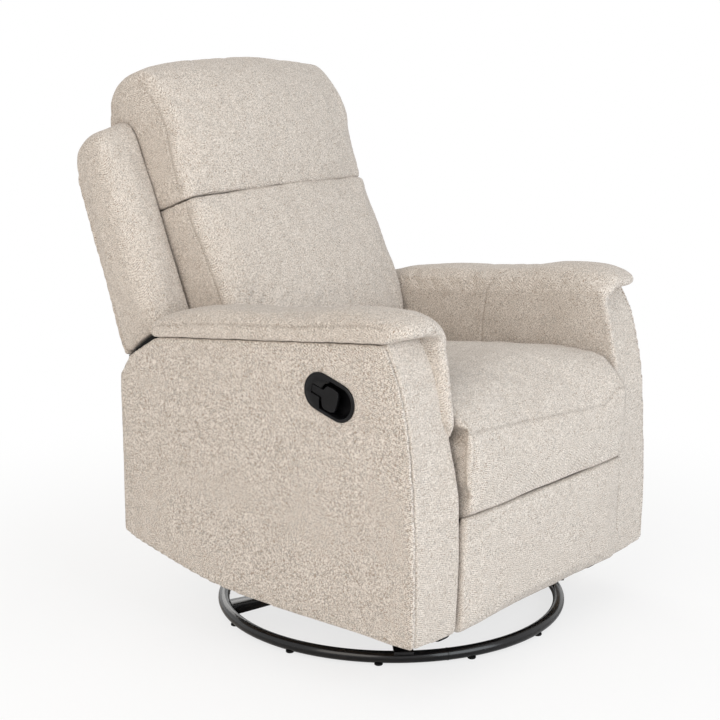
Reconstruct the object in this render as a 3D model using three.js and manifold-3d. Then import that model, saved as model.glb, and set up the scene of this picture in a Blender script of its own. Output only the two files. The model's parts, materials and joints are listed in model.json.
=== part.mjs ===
// A swivel glider recliner. Millimetres, +Z up, the sitter faces -Y and has the release handle at -X.
// Places along Y are counted from the swivel axis, and heights from the floor.
import * as THREE from "three";
import { mergeVertices } from "three/addons/utils/BufferGeometryUtils.js";
import Module from "manifold-3d";

const wasm = await Module();
wasm.setup();

// Whole chair
const gap = 0.3;                    // between pieces that touch
const cutOverrun = 2;               // how far a cutting tool runs past the face it cuts
const weldDepth = 0.8;              // how far a welded piece runs into its neighbour
const axisAheadOfMiddle = 68;       // the swivel axis, ahead of the middle of the chair's depth
const roundSteps = 12;
const closest = 0.05;               // points of an outline nearer than this count as one
const samePoint = 0.0001;           // corners of a solid nearer than this are one corner

// Base ring on the floor
const ringRadius = 315;
const ringTube = 21;
const ringUnderside = 4;
const ringSteps = 60;
const ringTubeSteps = 8;
const glideCount = 12;
const glideWidth = 15;
const glideRim = 1;
const glideFirstDegrees = 4.4;
const crossBarWidth = 34;
const crossBarThickness = 5;
const crossFrontPast = 18;          // the front arms lie on the ring and pass it
const crossFrontSeat = 34;
const crossFrontDegrees = 48;       // each front arm, from straight ahead
const crossRearDegrees = 55;        // each rear arm, from straight back
const crossRearShort = 1;           // the rear arms end inside the ring, this much above its underside
const crossHubRun = 112;            // flat middle that carries the bearing
const crossHubHeight = 46;          // its upper face

// Swivel bearing
const bearingRadius = 98;
const bearingPlate = 4;
const raceRadius = 74;
const raceWidth = 14;
const raceHeight = 3;
const rivetRadius = 13;
const swivelPlateMargin = 2;        // inside the glider brackets
const swivelPlateCorner = 22;
const swivelPlateThickness = 5;

// Glider
const glideBracketInner = 120;      // inner face, from the middle plane
const glideBracketHeight = 118;
const glideBracketFoot = 26;
const glidePlate = 5;
const glidePivotReach = 110;        // pivots ahead of and behind the swivel axis
const glideBracketPast = 18;        // the brackets, past the pivots
const glidePivotBelowTop = 12;
const glideLinkRun = 85;
const glideLinkWidth = 26;
const glidePin = 6;
const glideBracketShares = [
  [-0.70, 0], [0.70, 0], [0.76, 0.42], [1, 0.72], [1, 1], [-1, 1], [-1, 0.72], [-0.76, 0.42],
];

// Seat mechanism
const armInner = 250;               // inner face of each arm, from the middle plane
const mechanismPlate = 5;
const tubeSide = 25;
const tubeWall = 2;
const tubeFromPivot = 30;
const tubeLift = 1;
const plateTop = 339;               // the seat, the hinges and the footrest's links go by this height
const plateFootPast = 58;           // past the glider's pivots
const plateFootHeight = 79;
const plateAhead = 70;              // ahead of the drive links' pivot
const plateFrontDrop = 28;          // corners of the plate, below its top
const plateKneeDrop = 54;
const plateRearDrop = 58;
const plateKneeBehind = 53;         // behind the plate's front
const plateRearPast = 20;           // behind the backrest's hinge
const plateWindow = 34;
const plateWindowReach = 88;
const plateWindowDrop = 135;

// Seat
const seatFrameThickness = 18;
const seatFrameRail = 44;
const seatFramePast = 5;            // ahead of the mechanism plates
const seatFrameShort = 21;          // ahead of the backrest's hinge
const seatSideGap = 4;              // from each arm
const springWire = 4;
const springCount = 4;
const springBends = 5;
const springSwing = 22;
const springSteps = 20;
const springPitch = 96;
const seatFront = 351;
const seatDepth = 217;              // from its top to the skirt's lower edge
const seatSkirtDrop = 60;           // the skirt's lower edge, below the mechanism plates' top
const seatSkirtDepth = 60;
const seatCornerRadius = 12;
const seatTopShares = [             // from the rear edge to the skirt: depth, height above the skirt
  [1, 0.69], [0.861, 0.858], [0.739, 0.894], [0.631, 0.926], [0.451, 0.972], [0.271, 0.995],
  [0.160, 0.982], [0.083, 0.922], [0.034, 0.806], [0.009, 0.645], [0, 0.438], [0.002, 0.207], [0.013, 0.046],
];

// Arms
const armWidth = 108;
const armBulge = 5;
const armPanelShare = 0.204;        // each side panel of an arm, of the arm's width
const armFrontPanel = 18;
const armRearWallReach = 110;       // the rear wall and its roof, from the arm's rear edge
const armFrontReach = 330;
const armBehindHinge = 115;
const armLow = 94;
const armAboveSeat = 87;
const armCorner = 9;
const armRearShares = [[1, 0.121], [1, 0.728], [0.951, 0.816], [0.864, 0.888]];
const armTopShares = [[0.845, 0.894], [0.094, 1]];
const armFrontShares = [
  [0.094, 1], [0.061, 0.890], [0.028, 0.716], [0.013, 0.526], [0.004, 0.327], [0, 0.207], [0.003, 0.004],
];
const armBottomShares = [
  [0.003, 0.004], [0.186, 0], [0.450, 0.004], [0.590, 0.012], [0.736, 0.039], [0.887, 0.082], [0.981, 0.115],
];
const armRail = 38;
const armFrameShares = [[0.07, 0.02], [0.49, 0.02], [0.97, 0.15], [0.97, 0.70], [0.83, 0.86], [0.13, 0.955]];
const padSideGap = 0.9;             // from the back cushion
const padOverOuter = 6;
const padFrontSetBack = 18;
const padRearSetBack = 79;
const padRise = 42;                 // its highest place, above the arm
const padHeight = 94;
const padEdge = 9;                  // rounding of its long edges
const padCrown = 7;
const padNose = 36;                 // how far its underside stays free at the front
const padTopShares = [
  [1, 0.19], [0.985, 0.32], [0.92, 0.45], [0.801, 0.573], [0.702, 0.649], [0.533, 0.745], [0.371, 0.84],
  [0.216, 0.979], [0.108, 1], [0.038, 0.904], [0.005, 0.745], [0.002, 0.60], [0.028, 0.50],
];
const wrapDrop = 158;               // where the pad's strip ends, below the arm's highest place
const wrapThickness = 9;
const wrapWidth = 46;
const rearPanelDrop = 50;           // its top, below the mechanism plates' top
const rearPanelSetIn = 4;
const rearPanelThickness = 12;

// Release handle
const handleBehindFront = 171;      // its middle, behind the arm's front
const handleBelowArm = 87;          // its middle, below the arm's upper edge
const handleTiltDegrees = 18;
const cupLength = 99;
const cupWidth = 56;
const cupLip = 4;
const cupLipWidth = 4;
const cupWall = 2.5;
const cupDepth = 22;
const paddleThickness = 7;
const paddleSet = 2;                // how far the paddle lies below the lip
const paddleReach = 34;             // from the middle of the cup to the paddle's hinge
const paddleHead = 20;
const paddleHeadRun = 8;
const paddleStem = 13;
const paddlePin = 3;
const cableWidth = 5;
const cableSides = 8;
const cableSteps = 16;
const cableHole = 4;
const cableBendRun = 44;            // run over which the cable turns down, and out again
const cableEndForward = 40;
const cableEndDrop = 88;            // below the mechanism plates' top
const cableLeaveBehind = 26;        // where it leaves the cup, behind the cup's middle

// Backrest, in its own leaning frame: depth rearward and height up from the hinge
const hingeRear = 226;
const hingeDrop = 35;               // below the mechanism plates' top
const leanDegrees = 20;
const hingePin = 8;
const hingeEye = 18;
const postWidth = 40;
const postBelowTuck = 26;
const postKnee = 62;
const backPanelFront = 58.5;
const backPanelThickness = 12.5;
const backPanelRise = 148;          // its top, above the tuck between the cushions
const backPanelSetIn = 29;          // from the outer faces of the arms
const backPanelBottom = 2;
const backPanelCorner = 18;
const backPanelShares = [           // half of its outline: across, height
  [0.717, 0], [0.717, 0.345], [0.90, 0.36], [1, 0.375], [1, 0.91], [0.95, 0.965], [0.86, 0.995], [0.74, 1],
];
const wingSetIn = 27;
const wingFront = 42;
const wingBelowArm = 65;            // its lower corner, along the backrest
const wingRise = 6;                 // above the rear panel
const wingEdge = 16;
const wingEdgeSteps = 3;
const wingShares = [                // depth from the front edge to the rear panel, height
  [0, 0.109], [0.08, 0.275], [0.14, 0.482], [0.20, 0.689], [0.29, 0.896], [0.33, 0.96],
  [0.42, 1], [0.76, 0.985], [0.95, 0.93], [1, 0.84], [1, 0.06], [0.96, 0],
];
const backCushionLow = 122;
const tuckHeight = 446;
const tuckGap = 0.6;
const backCushionFront = 168;
const backCrown = 20;               // how far the cushions' sides lie behind their middle
const backEdge = 12;
const backFrontShares = [           // from the bottom to the tuck: depth forward, height
  [0.625, 0], [0.835, 0.04], [0.935, 0.133], [0.988, 0.256], [1, 0.395], [0.982, 0.534], [0.93, 0.704],
  [0.887, 0.818], [0.833, 0.904], [0.726, 0.969], [0.577, 1],
];
const headRise = 119;               // above the rear panel
const headRearBulge = 7;
const headFront = 152;
const headFrontShares = [           // from the tuck over the top to the rear
  [0.638, 0], [0.816, 0.02], [0.908, 0.08], [0.934, 0.163], [0.954, 0.276], [0.974, 0.369], [1, 0.471],
  [0.98, 0.587], [0.921, 0.707], [0.803, 0.831], [0.651, 0.944], [0.461, 1], [0.23, 0.989], [0, 0.921],
  [-0.23, 0.801], [-0.395, 0.658],
];

// Footrest, closed: places of the link pivots
const driveBehindSeat = 136;        // behind the seat's front
const driveDrop = 35;               // below the mechanism plates' top
const driveLinkRun = 182;
const driveClosedDegrees = 36.6;    // the drive link, rearward of straight down
const extensionRun = 180;
const extensionDegrees = 110;       // the extension link, forward and up of straight down
const stayOffset = 55;              // stay pivots along the extension link
const crankDepth = 5.2;             // ear of the drive link, from its end pivot
const crankHeight = 23.3;
const controlEndDepth = 22.1;       // far pivot of the control link, from the bracket pivot
const controlEndHeight = 30.2;
const linkThickness = 5;
const linkWidth = 20;
const linkPin = 4;
const pinPlay = 0.5;
const openPivotPlay = 2.4;          // where the loop of links is left open
const linkClearance = 1.5;          // beside and above a link that swings past the seat
const boardThickness = 12;
const boardAhead = 3;               // its rear face, ahead of the seat frame
const boardSetIn = 10;              // from the sides and the lower edge of the pad
const boardBelowPad = 5;
const bumperWidth = 34;
const bumperBehindBoard = 7;
const bracketBehind = 11.5;         // the brackets' plate, past its pivots
const bracketBelow = 16.5;
const bracketAbove = 15.3;
const footPadDrop = 5;              // below the arms
const footPadTuck = 3;              // below the seat's skirt
const footPadSetBack = 5;           // behind the seat's front
const footPadEdge = 14;

const degrees = Math.PI / 180;
const sides = [["left", 1], ["right", -1]];

// Sizes that follow from the ones above
const crossFrontRun = ringRadius + crossFrontPast;
const crossRearDepth = ringTube - crossRearShort;
const swivelPlateSide = 2 * (glideBracketInner - swivelPlateMargin);
const glideBracketReach = glidePivotReach + glideBracketPast;
const plateFar = armInner - gap;
const plateNear = plateFar - mechanismPlate;
const postFar = plateNear - gap;
const postNear = postFar - mechanismPlate;
const drivePivotForward = seatFront - driveBehindSeat;
const drivePivotHeight = plateTop - driveDrop;
const hingeHeight = plateTop - hingeDrop;
const plateFoot = glidePivotReach + plateFootPast;
const plateFront = drivePivotForward + plateAhead;
const plateRear = hingeRear + plateRearPast;
const seatFrameFront = plateFront + seatFramePast;
const seatFrameRear = hingeRear - seatFrameShort;
const seatHalfWidth = armInner - seatSideGap;
const seatSkirtBottom = plateTop - seatSkirtDrop;
const seatCushionTop = seatSkirtBottom + seatDepth;
const armOuter = armInner + armWidth;
const armPanel = armPanelShare * armWidth;
const armHigh = seatCushionTop + armAboveSeat;
const armRear = hingeRear + armBehindHinge;
const backHalfWidth = postNear - gap;
const headHalfWidth = postFar;
const padInner = backHalfWidth + padSideGap;
const padOuter = armOuter + padOverOuter;
const padFront = armFrontReach - padFrontSetBack;
const padRear = armRear - padRearSetBack;
const padHigh = armHigh + padRise;
const padLow = padHigh - padHeight;
const wrapBottom = armHigh - wrapDrop;
const rearPanelTop = plateTop - rearPanelDrop;
const handleForward = armFrontReach - handleBehindFront;
const cableLeaveForward = handleForward - cableLeaveBehind;
const cableEndHeight = plateTop - cableEndDrop;
const backPanelTop = tuckHeight + backPanelRise;
const backPanelHalfWidth = armOuter - backPanelSetIn;
const headHigh = backPanelTop + headRise;
const postTop = tuckHeight - postBelowTuck;
const wingInner = plateNear + gap;
const wingOuter = armOuter - wingSetIn;
const wingHigh = backPanelTop + wingRise;
const wingLow = armHigh - hingeHeight - wingBelowArm;
const footPadHigh = seatSkirtBottom - footPadTuck;
const footPadFront = seatFront - footPadSetBack;
const footPadLow = armLow - footPadDrop;
const boardBack = seatFrameFront + boardAhead;
const boardHalfWidth = seatHalfWidth - boardSetIn;
const boardLow = footPadLow + boardSetIn;
const boardHigh = footPadHigh - boardBelowPad;
const bumperForward = boardBack - bumperBehindBoard;
const bumperHeight = boardLow - bumperWidth / 2 - cutOverrun / 2;

// Materials
const finish = (color, roughness, metalness = 0) =>
  new THREE.MeshStandardMaterial({ color, roughness, metalness });
const cloth = finish(0xc2b7a8, 0.95);
const blackSteel = finish(0x141415, 0.35, 0.6);
const bareSteel = finish(0x8f9194, 0.4, 0.9);
const blackPlastic = finish(0x111112, 0.4);
const rubber = finish(0x1a1a1b, 0.85);
const wood = finish(0xb58f63, 0.8);

// Points and outlines, in the plane of Y and Z
const at = (y, z) => new THREE.Vector2(y, z);
const inBox = (shares, front, rear, low, high) =>
  shares.map(([d, h]) => at(front + d * (rear - front), low + h * (high - low)));

function smooth(points, steps) {
  return new THREE.SplineCurve(points).getPoints(steps);
}

function softened(points, radius, steps = 4) {
  const out = [];
  points.forEach((corner, i) => {
    const before = points[(i + points.length - 1) % points.length];
    const after = points[(i + 1) % points.length];
    const reach = (other) => Math.min(radius, corner.distanceTo(other) / 2);
    const from = corner.clone().lerp(before, reach(before) / corner.distanceTo(before));
    const to = corner.clone().lerp(after, reach(after) / corner.distanceTo(after));
    out.push(...new THREE.QuadraticBezierCurve(from, corner, to).getPoints(steps));
  });
  return withoutDoubles(out);
}

function withoutDoubles(points) {
  return points.filter((p, i) => p.distanceTo(points[(i + points.length - 1) % points.length]) > closest);
}

function divided(points, longest) {
  return points.flatMap((p, i) => {
    const next = points[(i + 1) % points.length];
    const parts = Math.max(1, Math.ceil(p.distanceTo(next) / longest));
    return Array.from({ length: parts }, (_, k) => p.clone().lerp(next, k / parts));
  });
}

function normalsOf(points) {
  return points.map((p, i) => {
    const before = points[(i + points.length - 1) % points.length];
    const after = points[(i + 1) % points.length];
    const a = p.clone().sub(before).normalize();
    const b = after.clone().sub(p).normalize();
    const miter = at(a.y + b.y, -a.x - b.x).normalize();
    const stretch = Math.max(miter.dot(at(a.y, -a.x)), 0.5);
    return miter.divideScalar(stretch);
  });
}

function circle(centre, radius, steps = roundSteps) {
  return Array.from({ length: steps }, (_, i) => {
    const turn = (2 * Math.PI * i) / steps;
    return at(centre.x + radius * Math.cos(turn), centre.y + radius * Math.sin(turn));
  });
}

function bar(a, b, width, steps = roundSteps / 2) {
  const run = b.clone().sub(a).angle();
  const end = (centre, start) => Array.from({ length: steps + 1 }, (_, i) => {
    const turn = run + start + (Math.PI * i) / steps;
    return at(centre.x + (width / 2) * Math.cos(turn), centre.y + (width / 2) * Math.sin(turn));
  });
  return [...end(b, -Math.PI / 2), ...end(a, Math.PI / 2)];
}

// Closed solids
function oriented(geometry) {
  const place = geometry.attributes.position;
  const index = geometry.index;
  const corner = [new THREE.Vector3(), new THREE.Vector3(), new THREE.Vector3()];
  let volume = 0;
  for (let i = 0; i < index.count; i += 3) {
    corner.forEach((v, k) => v.fromBufferAttribute(place, index.getX(i + k)));
    volume += corner[0].dot(corner[1].clone().cross(corner[2]));
  }
  if (volume < 0) {
    for (let i = 0; i < index.count; i += 3) {
      const first = index.getX(i);
      index.setX(i, index.getX(i + 1));
      index.setX(i + 1, first);
    }
  }
  return geometry;
}

function shell(rings) {
  const count = rings[0].length;
  const index = [];
  for (let r = 0; r + 1 < rings.length; r += 1) {
    for (let i = 0; i < count; i += 1) {
      const a = r * count + i;
      const b = r * count + ((i + 1) % count);
      index.push(a, b, a + count, b, b + count, a + count);
    }
  }
  const cap = (ring, first, flip) => {
    const flat = ring.map((p) => at(p.y, p.z));
    for (const face of THREE.ShapeUtils.triangulateShape(flat, [])) {
      const [a, b, c] = face.map((k) => first + k);
      index.push(...(flip ? [a, c, b] : [a, b, c]));
    }
  };
  cap(rings[0], 0, true);
  cap(rings[rings.length - 1], (rings.length - 1) * count, false);
  const geometry = new THREE.BufferGeometry();
  const places = rings.flat().flatMap((p) => p.toArray());
  geometry.setAttribute("position", new THREE.Float32BufferAttribute(places, 3));
  geometry.setIndex(index);
  return oriented(geometry);
}

// How a station draws its outline in: along the outline's own normals, or towards a point.
const alongNormals = (give = () => 1) => (p, drawnIn, ahead) =>
  p.clone().addScaledVector(ahead, -drawnIn * give(ahead.clone().normalize(), p));

const towards = (rest, reach) => (p, drawnIn) => at(
  rest.x + (p.x - rest.x) * (1 - drawnIn / reach.x),
  rest.y + (p.y - rest.y) * (1 - drawnIn / reach.y),
);

// An outline carried across the chair. Each station is a place across and how far the outline draws in there.
function across(outline, stations, draw = alongNormals()) {
  const loop = THREE.ShapeUtils.isClockWise(outline) ? [...outline].reverse() : outline;
  const ahead = normalsOf(loop);
  return shell(stations.map(([x, drawnIn]) => loop.map((p, i) => {
    const placed = draw(p, drawnIn, ahead[i]);
    return new THREE.Vector3(x, placed.x, placed.y);
  })));
}

// Stations of a crowned piece: flat-topped middle, then an edge that rounds over at both ends.
function crowned(halfWidth, crown, edge, edgeSteps = 3, middleSteps = 2) {
  const stations = [];
  const inner = halfWidth - edge;
  for (let i = 0; i <= middleSteps; i += 1) {
    const share = i / middleSteps;
    stations.push([inner * share, crown * share * share]);
  }
  for (let i = 1; i <= edgeSteps; i += 1) {
    const turn = (Math.PI / 2) * (i / edgeSteps);
    stations.push([inner + edge * Math.sin(turn), crown + edge * (1 - Math.cos(turn))]);
  }
  return [...stations.slice(1).reverse().map(([x, d]) => [-x, d]), ...stations];
}

const crossways = new THREE.Matrix4().makeBasis(
  new THREE.Vector3(0, 1, 0), new THREE.Vector3(0, 0, 1), new THREE.Vector3(1, 0, 0),
);

// A flat plate that stands across X, between two distances from the middle plane.
function plate(outline, side, near, far, holes = []) {
  const shape = new THREE.Shape(outline);
  shape.holes = holes.map((hole) => new THREE.Path(hole));
  const geometry = new THREE.ExtrudeGeometry(shape, { depth: far - near, bevelEnabled: false });
  geometry.applyMatrix4(crossways);
  geometry.translate(side > 0 ? near : -far, 0, 0);
  return geometry;
}

function pin(centre, radius, side, near, far) {
  return plate(circle(centre, radius), side, near, far);
}

function box(low, high) {
  const size = high.clone().sub(low);
  const geometry = new THREE.BoxGeometry(size.x, size.y, size.z);
  geometry.translate(...low.clone().add(high).divideScalar(2).toArray());
  return geometry;
}

// A flat sheet that lies level, from a height up to its thickness above.
function level(outline, low, thickness, holes = []) {
  const shape = new THREE.Shape(outline);
  shape.holes = holes.map((hole) => new THREE.Path(hole));
  const geometry = new THREE.ExtrudeGeometry(shape, { depth: thickness, bevelEnabled: false });
  geometry.translate(0, 0, low);
  return geometry;
}

function rectangle(left, right, front, rear) {
  return [at(left, front), at(right, front), at(right, rear), at(left, rear)];
}

function bare(geometry) {
  const copy = geometry.clone();
  copy.deleteAttribute("normal");
  if (copy.attributes.uv) copy.deleteAttribute("uv");
  const merged = mergeVertices(copy, samePoint);
  merged.clearGroups();
  return merged;
}

function solid(geometry) {
  const merged = bare(geometry);
  return new wasm.Manifold(new wasm.Mesh({
    numProp: 3,
    vertProperties: Float32Array.from(merged.attributes.position.array),
    triVerts: Uint32Array.from(merged.index.array),
  }));
}

function drawn(body) {
  const mesh = body.getMesh();
  const geometry = new THREE.BufferGeometry();
  geometry.setAttribute("position", new THREE.Float32BufferAttribute(mesh.vertProperties, 3));
  geometry.setIndex(Array.from(mesh.triVerts));
  return geometry;
}

function joined(...pieces) {
  return drawn(pieces.map(solid).reduce((whole, piece) => whole.add(piece)));
}

function cut(piece, ...tools) {
  return drawn(tools.map(solid).reduce((whole, tool) => whole.subtract(tool), solid(piece)));
}

function piece(name, geometry, material) {
  const merged = bare(geometry);
  merged.computeVertexNormals();
  const mesh = new THREE.Mesh(merged, material);
  mesh.name = name;
  return mesh;
}

function part(parent, name, y = 0, z = 0) {
  const group = new THREE.Group();
  group.name = name;
  group.position.set(0, y, z);
  parent.add(group);
  return group;
}

// Puts a piece that was drawn from the floor and the swivel axis into a group that stands elsewhere.
function hung(group, mesh) {
  mesh.position.set(0, -group.position.y, -group.position.z);
  group.add(mesh);
  return mesh;
}

const chair = new THREE.Group();
chair.position.y = -axisAheadOfMiddle;

// Base
const base = part(chair, "base");
const ringCentre = ringUnderside + ringTube / 2;

function baseRing() {
  const ring = new THREE.TorusGeometry(ringRadius, ringTube / 2, ringTubeSteps, ringSteps);
  ring.translate(0, 0, ringCentre);
  return ring;
}

function glide() {
  const top = ringUnderside - gap;
  const half = glideWidth / 2;
  const profile = [at(0, 0), at(half - glideRim, 0), at(half, glideRim), at(half, top), at(0, top)];
  const foot = new THREE.LatheGeometry(profile, roundSteps);
  foot.rotateX(Math.PI / 2);
  return foot;
}

// One arm of the cross, from the middle outward along its own line
function crossArm(profile, turn) {
  const shape = new THREE.Shape(profile);
  const arm = new THREE.ExtrudeGeometry(shape, { depth: crossBarWidth, bevelEnabled: false });
  arm.translate(0, 0, -crossBarWidth / 2);
  arm.rotateX(Math.PI / 2);
  arm.rotateZ(turn);
  return arm;
}

function baseFrame() {
  const ringTop = ringUnderside + ringTube;
  const under = crossHubHeight - crossBarThickness;
  const hub = [at(0, under), at(crossHubRun, under)];
  const front = [
    ...hub, at(crossFrontRun - crossFrontSeat, ringTop - weldDepth), at(crossFrontRun, ringTop - weldDepth),
    at(crossFrontRun, ringTop + crossBarThickness),
    at(crossFrontRun - crossFrontSeat, ringTop + crossBarThickness),
    at(crossHubRun, crossHubHeight), at(0, crossHubHeight),
  ];
  const rearRun = ringRadius - ringTube / 2 + ringTube / 4;
  const rear = [
    ...hub, at(rearRun, ringTop - crossRearDepth), at(rearRun, ringTop), at(crossHubRun, crossHubHeight),
    at(0, crossHubHeight),
  ];
  const ahead = -Math.PI / 2;
  const arms = [1, -1].flatMap((way) => [
    crossArm(front, ahead + way * crossFrontDegrees * degrees),
    crossArm(rear, -ahead + way * crossRearDegrees * degrees),
  ]);
  const rim = circle(at(0, 0), bearingRadius, roundSteps * 2);
  const disc = level(rim, under, crossBarThickness + bearingPlate);
  const race = raceRadius + raceWidth / 2;
  const top = crossHubHeight + bearingPlate;
  const track = level(
    circle(at(0, 0), race, roundSteps * 2), top - weldDepth, raceHeight + weldDepth,
    [circle(at(0, 0), race - raceWidth, roundSteps * 2)],
  );
  const rivetHole = level(circle(at(0, 0), rivetRadius + gap), under - cutOverrun, top + raceHeight);
  return cut(joined(baseRing(), ...arms, disc, track), rivetHole);
}

base.add(piece("base_frame", baseFrame(), blackSteel));
for (let i = 0; i < glideCount; i += 1) {
  const turn = glideFirstDegrees * degrees + (2 * Math.PI * i) / glideCount;
  const foot = piece(`base_glide_${String(i + 1).padStart(2, "0")}`, glide(), rubber);
  foot.position.set(ringRadius * Math.cos(turn), ringRadius * Math.sin(turn), 0);
  base.add(foot);
}

// Swivelling plate and the brackets that the glider hangs from
const swivel = part(chair, "swivel");
const swivelLow = crossHubHeight + bearingPlate + raceHeight + gap;
const swivelTop = swivelLow + swivelPlateThickness;

function swivelPlate() {
  const half = swivelPlateSide / 2;
  const outline = softened(rectangle(-half, half, -half, half), swivelPlateCorner);
  const sheet = level(outline, swivelLow, swivelPlateThickness);
  const rivetLow = crossHubHeight;
  const rivet = level(circle(at(0, 0), rivetRadius), rivetLow, swivelTop - rivetLow - weldDepth);
  return joined(sheet, rivet);
}
swivel.add(piece("swivel_plate", swivelPlate(), blackSteel));

const bracketFoot = swivelTop + gap;
const bracketTop = bracketFoot + glideBracketHeight;
const glidePivotHeight = bracketTop - glidePivotBelowTop;
const linkNear = glideBracketInner + glidePlate + gap;
const lugNear = linkNear + glidePlate + gap;
const glidePivots = [["front", -glidePivotReach], ["rear", glidePivotReach]];

function gliderBracket(side) {
  const outline = softened(
    glideBracketShares.map(([d, h]) => at(d * glideBracketReach, bracketFoot + h * glideBracketHeight)),
    glidePivotBelowTop / 2, 2,
  );
  const holes = glidePivots.map(([, y]) => circle(at(y, glidePivotHeight), glidePin + pinPlay));
  const web = plate(outline, side, glideBracketInner, glideBracketInner + glidePlate, holes);
  const reach = glideBracketShares[1][0] * glideBracketReach;
  const near = side * (glideBracketInner - glideBracketFoot);
  const far = side * (glideBracketInner + weldDepth);
  const low = new THREE.Vector3(Math.min(near, far), -reach, bracketFoot);
  const high = new THREE.Vector3(Math.max(near, far), reach, bracketFoot + glidePlate);
  return joined(web, box(low, high));
}
for (const [name, side] of sides) {
  swivel.add(piece(`glider_bracket_${name}`, gliderBracket(side), blackSteel));
}

// Hanging links
for (const [end, y] of glidePivots) {
  const links = part(chair, `glide_${end}`, y, glidePivotHeight);
  const top = at(y, glidePivotHeight);
  const bottom = at(y, glidePivotHeight - glideLinkRun);
  for (const [name, side] of sides) {
    const link = joined(
      plate(bar(top, bottom, glideLinkWidth), side, linkNear, linkNear + glidePlate),
      pin(top, glidePin, side, glideBracketInner - gap, linkNear + weldDepth),
      pin(bottom, glidePin, side, linkNear + glidePlate - weldDepth, lugNear + glidePlate + gap),
    );
    hung(links, piece(`glide_link_${end}_${name}`, link, bareSteel));
  }
}

// Carriage: everything that glides
const lowerPivotHeight = glidePivotHeight - glideLinkRun;
const carriage = part(chair, "carriage", -glidePivotReach, lowerPivotHeight);
const drivePivot = at(-drivePivotForward, drivePivotHeight);
const unit = (fromDown) => at(-Math.sin(fromDown * degrees), -Math.cos(fromDown * degrees));
const extensionWay = unit(extensionDegrees);
const driveEnd = drivePivot.clone().addScaledVector(unit(-driveClosedDegrees), driveLinkRun);
const bracketPivot = driveEnd.clone().addScaledVector(extensionWay, extensionRun);
const stayPivot = drivePivot.clone().addScaledVector(extensionWay, stayOffset);
const stayEnd = driveEnd.clone().addScaledVector(extensionWay, stayOffset);
const crankPivot = driveEnd.clone().add(at(crankDepth, crankHeight));
const controlPivot = bracketPivot.clone().add(at(controlEndDepth, controlEndHeight));
const backHinge = at(hingeRear, hingeHeight);
const cableEnd = at(-cableEndForward, cableEndHeight);

function mechanismSide(side) {
  const outline = softened([
    at(-plateFoot, plateFootHeight), at(plateFoot, plateFootHeight), at(plateRear, plateTop - plateRearDrop),
    at(plateRear, plateTop), at(-plateFront, plateTop), at(-plateFront, plateTop - plateFrontDrop),
    at(-plateFront + plateKneeBehind, plateTop - plateKneeDrop),
  ], linkWidth / 2);
  const windows = [-plateWindowReach, 0, plateWindowReach]
    .map((y) => circle(at(y, plateTop - plateWindowDrop), plateWindow));
  const bores = [[drivePivot, linkPin], [stayPivot, linkPin], [backHinge, hingePin]];
  const holes = bores.map(([centre, radius]) => circle(centre, radius + pinPlay));
  return plate(outline, side, plateNear, plateFar, [...windows, ...holes]);
}
for (const [name, side] of sides) {
  hung(carriage, piece(`mechanism_plate_${name}`, mechanismSide(side), blackSteel));
}

function crossTube(end, y) {
  const way = Math.sign(y);
  const near = Math.abs(y) + tubeFromPivot;
  const low = lowerPivotHeight - tubeLift;
  const front = Math.min(way * near, way * (near + tubeSide));
  const rear = front + tubeSide;
  const section = (wall) => rectangle(front + wall, rear - wall, low + wall, low + tubeSide - wall);
  const reach = plateNear - gap;
  const shape = new THREE.Shape(section(0));
  shape.holes = [new THREE.Path(section(tubeWall))];
  const tube = new THREE.ExtrudeGeometry(shape, { depth: 2 * reach, bevelEnabled: false });
  tube.applyMatrix4(crossways);
  tube.translate(-reach, 0, 0);
  const pivot = at(y, lowerPivotHeight);
  const lugs = sides.map(([, side]) => {
    const root = at(way * (near + tubeWall / 2), lowerPivotHeight);
    const lug = bar(pivot, root, glideLinkWidth);
    const blank = plate(lug, side, lugNear, lugNear + glidePlate, [circle(pivot, glidePin + pinPlay)]);
    const cutFront = way > 0 ? root.x : root.x - glideLinkWidth;
    const tool = box(
      new THREE.Vector3(-armOuter, cutFront, low - glideLinkWidth),
      new THREE.Vector3(armOuter, cutFront + glideLinkWidth, low + tubeSide + glideLinkWidth),
    );
    return cut(blank, tool);
  });
  return joined(tube, ...lugs);
}
for (const [end, y] of glidePivots) hung(carriage, piece(`cross_tube_${end}`, crossTube(end, y), blackSteel));

const frameLow = plateTop + gap;
const frameTop = frameLow + seatFrameThickness;

function seatFrame() {
  const rim = rectangle(-seatHalfWidth, seatHalfWidth, -seatFrameFront, seatFrameRear);
  const outer = softened(rim, seatCornerRadius, 2);
  const window = rectangle(
    -seatHalfWidth + seatFrameRail, seatHalfWidth - seatFrameRail,
    -seatFrameFront + seatFrameRail, seatFrameRear - seatFrameRail,
  );
  return level(outer, frameLow, seatFrameThickness, [window]);
}
hung(carriage, piece("seat_frame", seatFrame(), wood));

const springLow = frameTop + gap;
const springTop = springLow + springWire;

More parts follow.
